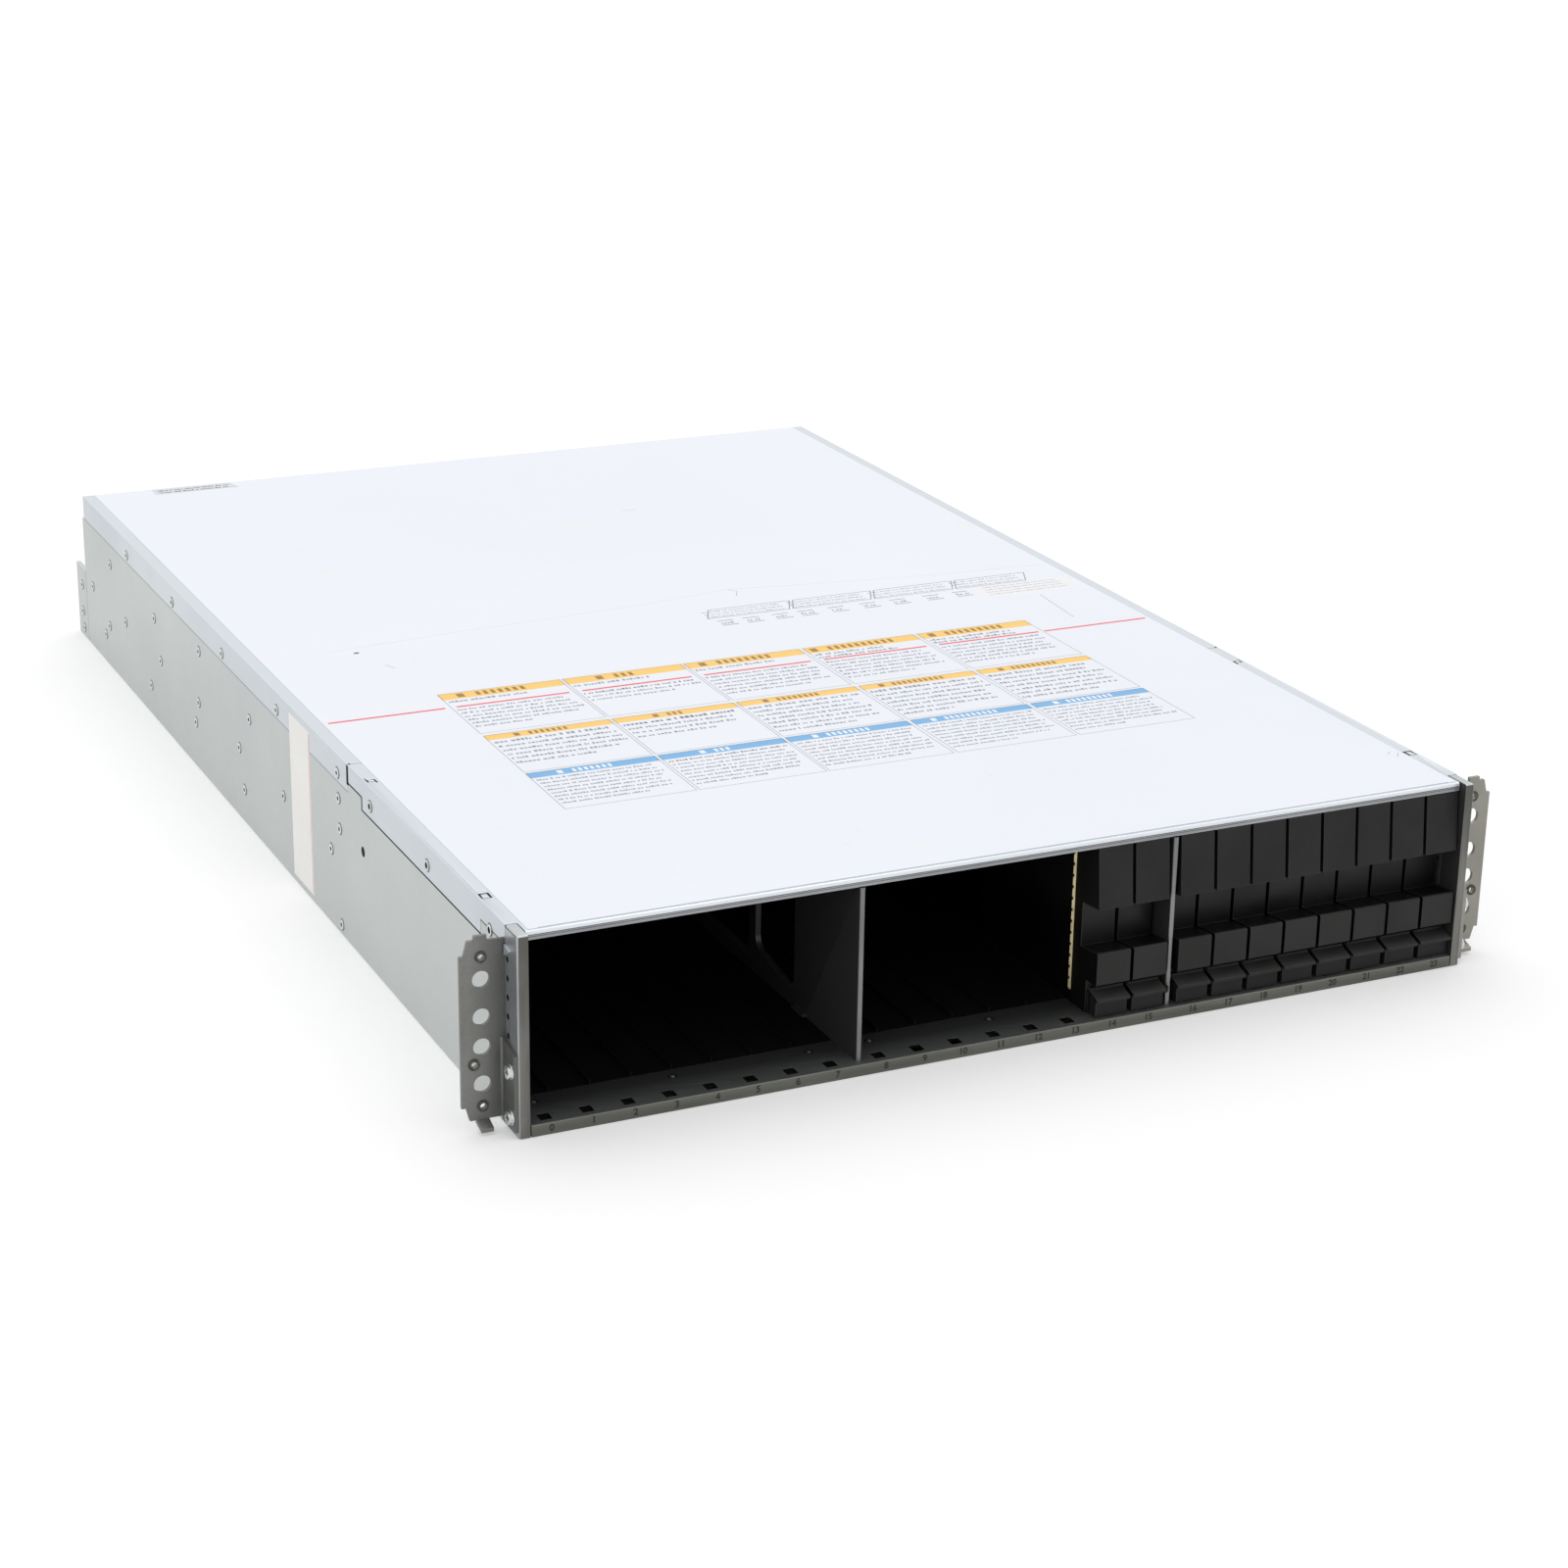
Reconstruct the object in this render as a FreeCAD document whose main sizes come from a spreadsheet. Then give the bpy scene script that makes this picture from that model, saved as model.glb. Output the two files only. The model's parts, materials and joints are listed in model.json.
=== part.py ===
"""Disk shelf enclosure, 19-inch rack, two units high, with 24 upright drive bays.

Row frame: millimetres, +X to the right seen from the front, +Y from the front towards the
rear, +Z up. The origin is the bottom centre of the whole enclosure.
"""
import FreeCAD, Part
import os
import re
import Sketcher

# --------------------------------------------------------------------------------------
# Driving dimensions, in millimetres and degrees. They go into the spreadsheet as they are.
# --------------------------------------------------------------------------------------
SIZES = {
    # overall
    "body_width": 445, "depth": 715, "height": 86,
    "steel": 1.2, "film": 0.25, "slide_gap": 0.3, "seam_gap": 0.5,
    # how far a cutting shape runs past the face that it opens
    "overcut": 1,
    # front frame
    "post_width": 4.6, "post_depth": 13, "sill_top": 5, "sill_depth": 26.5,
    "post_slot_radius": 1.1, "post_slot_inset": 2, "post_slot_low": 39.9, "post_slot_pitch": 8.1,
    "post_slots": 5, "hem_setback": 4, "hem_drop": 3.9, "hem_round": 1.08,
    # drive bays
    "bays_per_group": 8, "bay_margin": 0.06, "divider_wall": 2.4, "divider_extra": 4.24,
    "divider_setback": 3, "divider_nose": 1, "latch_width": 5, "latch_length": 5.6,
    "latch_setback": 3.1, "latch_shift": 0.95,
    "window_start": 64, "window_split": 103, "window_strut": 7, "window_back": 7.5,
    "window_low": 11.8, "window_rise": 6, "window_drop": 8, "window_corner": 6,
    "divider_foot_start": 52, "divider_foot_length": 11, "divider_foot_width": 1.5,
    # midplane
    "midplane_setback": 187, "board_wall": 2.4, "board_low": 5, "rail_lip": 4,
    "socket_width": 5, "socket_slot": 2, "socket_length": 34, "socket_depth": 8, "socket_low": 26,
    "vent_width": 7, "vent_length": 12, "vent_low": 9,
    # drive blanks
    "rib_wall": 1, "blank_length": 105, "blank_wall": 1.6, "blank_face": 1.7, "head_lean": 2.5,
    "lower_face": 1, "blank_head_low": 54.8, "finger_depth": 15.4, "lower_top": 35.4,
    "recess_fall": 1.8,
    "lower_low": 20.2, "neck_depth": 9.5, "foot_face": 6.8, "foot_top": 17.2, "foot_inset": 1.2,
    "foot_reach": 0.3, "ledge_tip": 0.1, "ledge_drop": 3.2, "ledge_wall": 1.3, "ledge_inset": 0.4,
    "blank_round": 1.2, "comb_rib": 2, "comb_rim": 0.6,
    "comb_wall": 1.35, "head_room": 1.7,
    # contact spring of each blank
    "spring_setback": 22, "spring_width": 2.6, "spring_bow": 0.9, "spring_wall": 0.3,
    "spring_low": 11, "spring_head": 3.2, "spring_slot": 1, "spring_pitch": 4,
    # covers and side plates: drops are measured from the top of the enclosure
    "cover_split": 210.5, "cover_short": 3.5, "flange_drop": 14.3, "step_drop": 8.3,
    "flange_front": 41, "flange_back": 20, "rear_flange_drop": 12.8,
    "joggle_drop": 24, "film_inset": 6.5, "flap_run": 5, "flap_cut": 0.6,
    "flap_gap": 0.5, "flap_width": 3.8,
    # floor pan and rear section
    "pan_inset": 1.5, "module_plug": 16.6, "shelf_short": 2,
    "shelf_room": 1.9, "module_room": 0.45, "shelf_flange": 12, "bracket_reach": 21.5,
    "bracket_drop": 1.8, "bracket_overlap": 40, "bracket_leg": 2.4, "bracket_leg_gap": 1.5,
    # rack ears
    "ear_reach": 18.8, "ear_setback": 13.5, "ear_wall": 1.6, "ear_leg": 9.5, "ear_low": 4.8,
    "ear_drop": 5, "ear_step": 1.8, "ear_step_low": 5.8, "ear_step_high": 6.2, "ear_taper": 3.4,
    "ear_top_slope": 0.8, "ear_clip": 5.2, "ear_clip_rise": 1.8, "ear_clip_reach": 5.2,
    "ear_clip_drop": 3.4, "ear_nose": 0.8, "ear_nose_height": 30.5, "ear_foot_height": 34,
    "ear_foot_drop": 2.2, "ear_notch": 1.8, "ear_leg_drop": 9, "ear_bend": 1,
    "ear_tap_shift": 3.4, "ear_tap_drop": 0.6, "ear_tap_gap": 3.45,
    "rack_hole_inset": 8.75, "rack_hole_radius": 3.6, "rack_hole_drop": 0.7,
    "rack_hole_outer": 44.45, "rack_hole_inner": 12.7, "ear_tap_radius": 1.3,
    "ear_collar_radius": 2.4, "ear_collar": 0.6,
    # fasteners: a row starts and ends so far from the ends of the sheet that it holds
    "rivet_radius": 2.3, "rivet_head": 0.5, "rivet_dimple": 0.9, "cover_rivet_drop": 8.8,
    "front_rivet_start": 30, "front_rivet_end": 31.8, "front_rivets": 3,
    "rear_rivet_start": 14.2, "rear_rivet_end": 96.1, "rear_rivets": 5,
    "shelf_rivet_start": 31, "shelf_rivet_end": 13.2, "shelf_rivets": 7,
    "shelf_rivet_drop": 6.1, "screw_radius": 2.8, "screw_head": 1.5, "washer_radius": 3.3,
    "washer_wall": 0.5, "screw_setback": 4.2, "screw_low": 8.2, "screw_high": 27.7,
    "cross_width": 0.8, "cross_length": 3.2, "cross_depth": 0.9,
    # single rivets, numbered as in RIVET_EDGES
    "rivet_1_along": 224.1, "rivet_1_up": -20.6, "rivet_2_along": 223.3, "rivet_2_up": 51.2,
    "rivet_3_along": 224.7, "rivet_3_up": 4.8, "rivet_4_along": 364.1, "rivet_4_up": -28.5,
    "rivet_5_along": 377.2, "rivet_5_up": 17.3, "rivet_6_along": -241.1, "rivet_6_up": -20.6,
    "rivet_7_along": -60.6, "rivet_7_up": -24.6, "rivet_8_along": -153.3, "rivet_8_up": -28.6,
    "rivet_9_along": -140.5, "rivet_9_up": 16.6, "rivet_10_along": -43, "rivet_10_up": 16.6,
    "rivet_11_along": -229.9, "rivet_11_up": 24.4, "rivet_12_along": -52.6, "rivet_12_up": 24,
    "rivet_13_along": -12, "rivet_13_up": 30.7, "rivet_14_along": -10.5, "rivet_14_up": 14.8,
    "rivet_15_along": -12, "rivet_15_up": 5.2,
    # side tape
    "tape_setback": 266, "tape_width": 31, "tape_low": 3, "tape_wall": 0.1,
    # power supplies
    "psu_width": 118, "case_wall": 1,
    "fan_room": 1.8, "fan_depth": 20, "fan_rim": 1.2, "tip_gap": 0.8, "fan_hub": 7.5,
    "fan_pin": 1.5, "pin_setback": 1, "fan_strut": 2, "ring_bite": 0.5, "fan_centre": 25,
    "fan_blades": 7, "run_gap": 0.1, "blade_wall": 1.4, "blade_lean": 6, "blade_inset": 1,
    "blade_short": 1.2, "grille_wall": 1, "grille_rings": 4, "inlet_width": 27,
    "inlet_height": 20, "inlet_depth": 18, "inlet_inset": 19, "inlet_rim": 2, "blade_pin": 2,
    "blade_spread": 7, "blade_offset": 2,
    # controller modules
    "port_width": 18, "port_height": 9, "port_depth": 16, "port_start": 34, "port_pitch": 34,
    "ports": 4, "board_rise": 4, "board_margin": 6, "board_foot": 6, "board_run": 300,
    "sink_size": 60, "sink_base": 3, "sink_height": 16, "sink_fin": 1.2, "sink_pitch": 4,
    # ejector levers
    "lever_radius": 3.2, "lever_wall": 2.4, "lever_height": 8, "lever_tab": 7, "lug_wall": 2,
    "psu_lever_centre": 51, "psu_lever_margin": 10.5, "io_lever_centre": 205,
    "io_lever_margin": 22.8, "lever_standoff": 4.6,
}

# The edges that each single rivet on a side plate or rear bracket keeps its distance from:
# along from the front, the plate's rear end or the bracket's end; up from the base or the top.
RIVET_EDGES = (
    ("front", "height"), ("front", "0"), ("front", "0"), ("front", "height"), ("front", "0"),
    ("side_end", "height"), ("side_end", "height"), ("side_end", "height"), ("side_end", "0"),
    ("side_end", "0"), ("side_end", "0"), ("side_end", "0"), ("back", "0"), ("back", "0"),
    ("back", "0"),
)

# Bays are numbered from 0 at the left; the ones from here on hold blanks.
FIRST_BLANK = 14

# Lengths that follow from the driving ones, each written once as an expression.
DERIVED = {
    "front": "-depth / 2",
    "back": "depth / 2",
    "side_end": "back - bracket_reach",
    "cover_end": "side_end - cover_short",
    "half": "body_width / 2",
    "inner": "half - steel",
    "liner": "inner - steel",
    "opening": "half - post_width",
    "sill_half": "opening - seam_gap",
    "cover_top": "height - film",
    "cover_low": "cover_top - steel",
    "hem_low": "cover_top - hem_drop",
    "hem_back": "front + hem_setback + steel + slide_gap",
    "flange_low": "height - flange_drop",
    "flange_step": "height - step_drop",
    "flange_rear": "cover_split - flange_back",
    "rear_flange_low": "height - rear_flange_drop",
    "bay_pitch": "(2 * opening - 2 * divider_extra - 2 * bay_margin) / (3 * bays_per_group)",
    "blank_width": "bay_pitch - rib_wall - 2 * slide_gap",
    "group_shift": "bays_per_group * bay_pitch + divider_extra",
    "divider_centre": "group_shift / 2",
    "guide_end": "board_front - steel - slide_gap",
    "window_end": "guide_end - window_back",
    "window_top": "height - window_drop",
    "comb_top": "cover_low - comb_wall",
    "blank_low": "sill_top + slide_gap",
    "blank_high": "comb_top - head_room",
    "spring_length": "blank_high - spring_head - spring_low",
    "board_front": "front + midplane_setback",
    "board_back": "board_front + board_wall",
    "module_front": "board_back + module_plug",
    "module_rear": "cover_end",
    "shelf_end": "module_rear - shelf_short",
    "level_low": "steel + slide_gap",
    "module_height": "(cover_low - level_low - shelf_room - steel - slide_gap - module_room) / 2",
    "shelf_height": "level_low + module_height + shelf_room",
    "level_high": "shelf_height + steel + slide_gap",
    "bracket_leg_top": "shelf_height + steel - shelf_flange - bracket_leg_gap",
    "bracket_leg_low": "bracket_leg_top - bracket_leg",
    "bracket_height": "shelf_height - bracket_drop",
    "pan_flange": "bracket_leg_low - slide_gap",
    "psu_left": "slide_gap - liner",
    "psu_right": "psu_left + psu_width",
    "inlet_centre": "psu_width - inlet_inset",
    "fan_size": "module_height - 2 * fan_room",
    "fan_bore": "fan_size / 2 - fan_rim",
    "fan_tip": "fan_bore - tip_gap",
    "wall_left": "psu_right + slide_gap",
    "io_left": "wall_left + steel + slide_gap",
    "io_right": "liner - slide_gap",
    "psu_lever_run": "inlet_centre - inlet_width / 2 - psu_lever_margin - psu_lever_centre",
    "io_lever_run": "io_right - io_left - io_lever_margin - io_lever_centre",
    "ear_top": "height - ear_drop",
    "ear_edge": "half + ear_reach",
    "ear_hole": "ear_edge - rack_hole_inset",
    "ear_hole_height": "(ear_low + ear_top) / 2 - rack_hole_drop",
    "ear_hole_reach": "rack_hole_outer / 2 + rack_hole_radius",
    "ear_front": "front + ear_setback",
    "ear_back": "ear_front + ear_wall",
    "pivot_line": "module_rear + lever_standoff",
}

doc = FreeCAD.newDocument("disk_shelf_enclosure")
sheet = doc.addObject("Spreadsheet::Sheet", "Sizes")
for row, (alias, value) in enumerate(SIZES.items(), 1):
    sheet.set(f"A{row}", alias.replace("_", " "))
    sheet.set(f"B{row}", str(value))
    sheet.setAlias(f"B{row}", alias)
doc.recompute()

nodes = []


# --------------------------------------------------------------------------------------
# Building tools
# --------------------------------------------------------------------------------------
def bound(text):
    """The expression with each size read from the sheet and each derived length spelt out."""
    def word(match):
        name = match[0]
        if name in SIZES:
            return f"Sizes.{name}"
        return f"({bound(DERIVED[name])})" if name in DERIVED else name
    return re.sub(r"[a-z][a-z0-9_]*", word, str(text))


def number(text):
    """The present value of an expression."""
    return float(sheet.evalExpression(bound(text)))


def node(obj, label):
    """Marks an object as one finished piece and gives it its name."""
    obj.Label = label
    nodes.append(obj)
    return obj


def box(name, x, y, z):
    """A block between the low and high ends given along each axis."""
    obj = doc.addObject("Part::Box", name)
    for length, axis, (low, high) in zip(("Length", "Width", "Height"), "xyz", (x, y, z)):
        obj.setExpression(length, bound(f"({high}) - ({low})"))
        obj.setExpression(f"Placement.Base.{axis}", bound(low))
    return obj


TURNS = {
    "x": FreeCAD.Rotation(FreeCAD.Vector(0, 1, 0), 90),
    "y": FreeCAD.Rotation(FreeCAD.Vector(1, 0, 0), -90),
    "z": FreeCAD.Rotation(),
}


def cylinder(name, axis, radius, start, length):
    """A cylinder that runs from its start point along the axis named."""
    obj = doc.addObject("Part::Cylinder", name)
    obj.Placement = FreeCAD.Placement(FreeCAD.Vector(), TURNS[axis])
    obj.setExpression("Radius", bound(radius))
    obj.setExpression("Height", bound(length))
    for letter, place in zip("xyz", start):
        obj.setExpression(f"Placement.Base.{letter}", bound(place))
    return obj


def fuse(name, pieces):
    obj = doc.addObject("Part::MultiFuse", name)
    obj.Shapes = pieces
    obj.Refine = True
    return obj


def group(name, pieces):
    """Several separate solids in one object."""
    obj = doc.addObject("Part::Compound", name)
    obj.Links = pieces
    return obj


def cut(name, base, tools):
    obj = doc.addObject("Part::Cut", name)
    obj.Base = base
    obj.Tool = tools[0] if len(tools) == 1 else group(f"{name}_tools", tools)
    return obj


def mirrored(name, source):
    """The same piece on the other side of the middle plane."""
    obj = doc.addObject("Part::Mirroring", name)
    obj.Source = source
    obj.Normal = FreeCAD.Vector(1, 0, 0)
    return obj


def body(label):
    """A new part-design body, counted as a piece."""
    return node(doc.addObject("PartDesign::Body", label), label)


# Each base plane: the sign of its normal along the row axis.
PLANES = {"XY": 1, "XZ": -1, "YZ": 1}


def sketch(host, name, plane, loops, offset="0"):
    """Closed outlines on one of the body's base planes, every corner tied to the sheet.

    A loop is a list of (across, up) corners, or ("circle", across, up, radius).
    """
    obj = host.newObject("Sketcher::SketchObject", name)
    base = [f for f in host.Origin.OriginFeatures if f.Role == f"{plane}_Plane"][0]
    obj.AttachmentSupport = [(base, "")]
    obj.MapMode = "FlatFace"
    obj.setExpression("AttachmentOffset.Base.z", bound(f"{PLANES[plane]} * ({offset})"))
    for loop in loops:
        first = obj.GeometryCount
        if loop[0] == "circle":
            centre = FreeCAD.Vector(number(loop[1]), number(loop[2]), 0)
            obj.addGeometry(Part.Circle(centre, FreeCAD.Vector(0, 0, 1), number(loop[3])))
            ties = [("DistanceX", -1, 1, first, 3, loop[1]), ("DistanceY", -1, 1, first, 3, loop[2]),
                    ("Radius", first, loop[3])]
        else:
            ends = [FreeCAD.Vector(number(across), number(up), 0) for across, up in loop]
            last = len(ends) - 1
            for k, end in enumerate(ends):
                obj.addGeometry(Part.LineSegment(end, ends[(k + 1) % len(ends)]))
            for k in range(len(ends)):
                after = first + (k + 1) % (last + 1)
                obj.addConstraint(Sketcher.Constraint("Coincident", first + k, 2, after, 1))
            ties = []
            for k, (across, up) in enumerate(loop):
                ties.append(("DistanceX", -1, 1, first + k, 1, across))
                ties.append(("DistanceY", -1, 1, first + k, 1, up))
        for *kind, text in ties:
            index = obj.addConstraint(Sketcher.Constraint(*kind, number(text)))
            obj.setExpression(f"Constraints[{index}]", bound(text))
    return obj


def solid(host, kind, name, plane, loops, start, length):
    """Pads or pockets outlines from start, along the plane's positive row axis, by length."""
    outline = sketch(host, f"{name}_sketch", plane, loops, start)
    obj = host.newObject(f"PartDesign::{kind}", name)
    obj.Profile = outline
    obj.setExpression("Length", bound(length))
    obj.Reversed = (PLANES[plane] < 0) == (kind == "Pad")
    host.Tip = obj
    doc.recompute()
    return obj


def repeated(host, name, feature, count, span):
    """Copies of a feature along the row's X axis."""
    obj = host.newObject("PartDesign::LinearPattern", name)
    obj.Originals = [feature]
    axis = [f for f in host.Origin.OriginFeatures if f.Role == "X_Axis"][0]
    obj.Direction = (axis, [""])
    obj.setExpression("Length", bound(span))
    obj.setExpression("Occurrences", bound(count))
    host.Tip = obj
    return obj


def rounded(host, name, radius, chosen):
    """Fillets the edges of the body's present shape that the test chooses."""
    doc.recompute()
    last = host.Tip
    names = [f"Edge{k}" for k, edge in enumerate(last.Shape.Edges, 1) if chosen(edge)]
    obj = host.newObject("PartDesign::Fillet", name)
    obj.Base = (last, names)
    obj.setExpression("Radius", bound(radius))
    host.Tip = obj
    return obj


def spans(edge, axis):
    """Whether the edge is straight and runs along the axis."""
    if edge.Curve.TypeId != "Part::GeomLine":
        return False
    run = edge.Vertexes[-1].Point - edge.Vertexes[0].Point
    return abs(abs(run.normalize()[axis]) - 1) < 1e-6


def rectangle(across, up):
    """The corners of an upright rectangle between two pairs of ends."""
    return [(across[0], up[0]), (across[1], up[0]), (across[1], up[1]), (across[0], up[1])]


def side_span(sign, inside, outside):
    """The low and high X of something that lies between two distances from the middle."""
    return (inside, outside) if sign > 0 else (f"-({outside})", f"-({inside})")


SIDES = (("left", -1), ("right", 1))
LEVELS = (("lower", "level_low"), ("upper", "level_high"))


def bay_centre(bay):
    """The middle of a bay: three groups, parted by the two dividers."""
    which, place = divmod(bay, SIZES["bays_per_group"])
    middle = f"({which} - 1) * group_shift"
    return f"{middle} + ({place} - (bays_per_group - 1) / 2) * bay_pitch"


# --------------------------------------------------------------------------------------
# Floor, sides and front frame
# --------------------------------------------------------------------------------------
def floor_pan():
    """One bent sheet: the floor with a low flange up each side, narrower between the posts."""
    pan = body("base_pan")
    behind = "front + post_depth + seam_gap"
    profile = [("-inner", "0"), ("inner", "0"), ("inner", "pan_flange"), ("liner", "pan_flange"),
               ("liner", "steel"), ("-liner", "steel"), ("-liner", "pan_flange"),
               ("-inner", "pan_flange")]
    solid(pan, "Pad", "pan_trough", "XZ", [profile], behind, f"cover_end - ({behind})")
    tongue = rectangle(("-sill_half", "sill_half"), ("front + pan_inset", f"{behind} + steel"))
    solid(pan, "Pad", "pan_tongue", "XY", [tongue], "0", "steel")


def side_plate(name, sign):
    """An outer plate below the cover flanges and a joggled strip behind them."""
    plate = body(f"{name}_side_plate")
    start, end = "front + post_depth + seam_gap", "side_end"
    below = "flange_low - seam_gap"
    step = "flange_step - seam_gap"
    rear = "rear_flange_low - seam_gap"
    outline = [(start, "0"), (end, "0"), (end, rear), ("front + cover_split", rear),
               ("front + cover_split", step), ("front + flange_rear + seam_gap", step),
               ("front + flange_rear + seam_gap", below),
               ("front + flange_front - seam_gap", below),
               ("front + flange_front - seam_gap", step), (start, step)]
    low, high = side_span(sign, "inner", "half")
    solid(plate, "Pad", f"{name}_outer_sheet", "YZ", [outline], low, "steel")
    strip = rectangle((start, "cover_end"), ("height - joggle_drop", "cover_low"))
    low, high = side_span(sign, "liner", "inner")
    solid(plate, "Pad", f"{name}_joggle", "YZ", [strip], low, "steel")


def front_post(name, sign):
    """A folded channel beside the opening, capped at the top and open to the rear."""
    post = body(f"{name}_front_post")
    outer, within = f"{sign} * half", f"{sign} * inner"
    edge, wall = f"{sign} * opening", f"{sign} * (opening + steel)"
    rear = "front + post_depth"
    channel = [(edge, "front"), (outer, "front"), (outer, rear), (within, rear),
               (within, "front + steel"), (wall, "front + steel"), (wall, rear), (edge, rear)]
    solid(post, "Pad", f"{name}_channel", "XY", [channel], "0", "cover_top")
    cap = rectangle(side_span(sign, "opening", "half"), ("front", rear))
    solid(post, "Pad", f"{name}_cap", "XY", [cap], "cover_low", "steel")
    holes = [("circle", "front + post_depth - post_slot_inset",
              f"post_slot_low + {k} * post_slot_pitch", "post_slot_radius")
             for k in range(SIZES["post_slots"])]
    low, high = side_span(sign, "inner", "half")
    solid(post, "Pocket", f"{name}_post_holes", "YZ", holes, low, "steel")
    corner, face, top = number(outer), number("front"), number("cover_top")

    def folded(edge):
        """The outer upright corner and the cap's front and outer edges."""
        start, end = (vertex.Point for vertex in (edge.Vertexes[0], edge.Vertexes[-1]))
        at_side = abs(start.x - corner) < 1e-6 and abs(end.x - corner) < 1e-6
        at_front = abs(start.y - face) < 1e-6 and abs(end.y - face) < 1e-6
        at_top = abs(start.z - top) < 1e-6 and abs(end.z - top) < 1e-6
        return at_side + at_front + at_top == 2

    rounded(post, f"{name}_post_round", "steel * 0.95", folded)


def floor_sill():
    """The front floor plate: a lip, a landing with a latch hole for each bay, a rear hem."""
    sill = body("floor_sill")
    under = "sill_top - steel"
    rear = "front + sill_depth"
    profile = [("front", "0"), ("front", "sill_top"), (rear, "sill_top"), (rear, "steel"),
               (f"{rear} - steel", "steel"), (f"{rear} - steel", under), ("front + steel", under),
               ("front + steel", "0")]
    solid(sill, "Pad", "sill_bend", "YZ", [profile], "-sill_half", "2 * sill_half")
    for turn in range(3):
        centre = bay_centre(turn * SIZES["bays_per_group"])
        middle = f"{centre} - latch_shift"
        hole = rectangle((f"{middle} - latch_width / 2", f"{middle} + latch_width / 2"),
                         ("front + latch_setback", "front + latch_setback + latch_length"))
        first = solid(sill, "Pocket", f"latch_hole_{turn}", "XY", [hole], under, "steel")
        repeated(sill, f"latch_row_{turn}", first, "bays_per_group",
                 "(bays_per_group - 1) * bay_pitch")
    face = number("front")
    top = number("sill_top")
    rounded(sill, "sill_round", "steel / 2", lambda edge: spans(edge, 0)
            and abs(edge.Vertexes[0].Y - face) < 1e-6 and abs(edge.Vertexes[0].Z - top) < 1e-6)


# --------------------------------------------------------------------------------------
# Covers and the film on top
# --------------------------------------------------------------------------------------
def front_cover():
    """Top sheet let in between the posts, with a rolled front hem and stepped side flanges."""
    cover = body("front_top_cover")
    nose, tail = "front + hem_setback", "front + cover_split - seam_gap"
    start = "front + post_depth + seam_gap"
    top = [("-half", start), ("-sill_half", start), ("-sill_half", nose), ("sill_half", nose),
           ("sill_half", start), ("half", start), ("half", tail), ("-half", tail)]
    solid(cover, "Pad", "front_cover_top", "XY", [top], "cover_low", "steel")
    hem = rectangle((nose, f"{nose} + steel"), ("hem_low", "cover_low + steel / 2"))
    solid(cover, "Pad", "front_hem", "YZ", [hem], "-sill_half", "2 * sill_half")
    flange = [(start, "cover_top"), (start, "flange_step"), ("front + flange_front", "flange_step"),
              ("front + flange_front", "flange_low"), ("front + flange_rear", "flange_low"),
              ("front + flange_rear", "flange_step"), (tail, "flange_step"), (tail, "cover_top")]
    for name, sign in SIDES:
        low, high = side_span(sign, "inner", "half")
        solid(cover, "Pad", f"front_cover_{name}", "YZ", [flange], low, "steel")
    cuts = []
    for sign in (-1, 1):
        inside = f"{sign} * (half - flap_cut * 2 - flap_width)"
        outside = f"{sign} * (half - flap_cut * 2)"
        for place in ("front + flange_front + flap_gap", "front + flange_rear - flap_run"):
            cuts.append([(inside, place), (outside, place), (outside, f"{place} + flap_run"),
                         (f"{outside} - {sign} * flap_cut", f"{place} + flap_run"),
                         (f"{outside} - {sign} * flap_cut", f"{place} + flap_cut"),
                         (inside, f"{place} + flap_cut")])
    solid(cover, "Pocket", "flap_cuts", "XY", cuts, "cover_low", "steel")
    line = number(nose)
    top_edge = number("cover_top")
    rounded(cover, "hem_roll", "hem_round", lambda edge: spans(edge, 0)
            and abs(edge.Vertexes[0].Y - line) < 1e-6 and abs(edge.Vertexes[0].Z - top_edge) < 1e-6)


def rear_cover():
    """Top sheet with plain side flanges, open at the rear so that the modules slide out."""
    cover = body("rear_top_cover")
    nose, tail = "front + cover_split", "cover_end"
    top = rectangle(("-half", "half"), (nose, tail))
    solid(cover, "Pad", "rear_cover_top", "XY", [top], "cover_low", "steel")
    flange = rectangle((nose, tail), ("rear_flange_low", "cover_top"))
    for name, sign in SIDES:
        low, high = side_span(sign, "inner", "half")
        solid(cover, "Pad", f"rear_cover_{name}", "YZ", [flange], low, "steel")


def top_film():
    """The printed film that covers the top between the silver side flanges."""
    edge = "half - film_inset"
    ends = ("front + hem_setback + steel", "cover_end - steel")
    node(box("top_sheet", (f"-({edge})", edge), ends, ("cover_top", "height")), "top_sheet")


def side_tape():
    """A seal tape stuck on the left side plate."""
    place = ("front + tape_setback", "front + tape_setback + tape_width")
    node(box("side_tape", ("-half - tape_wall", "-half"), place,
             ("tape_low", "rear_flange_low - seam_gap")), "side_tape")


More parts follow.
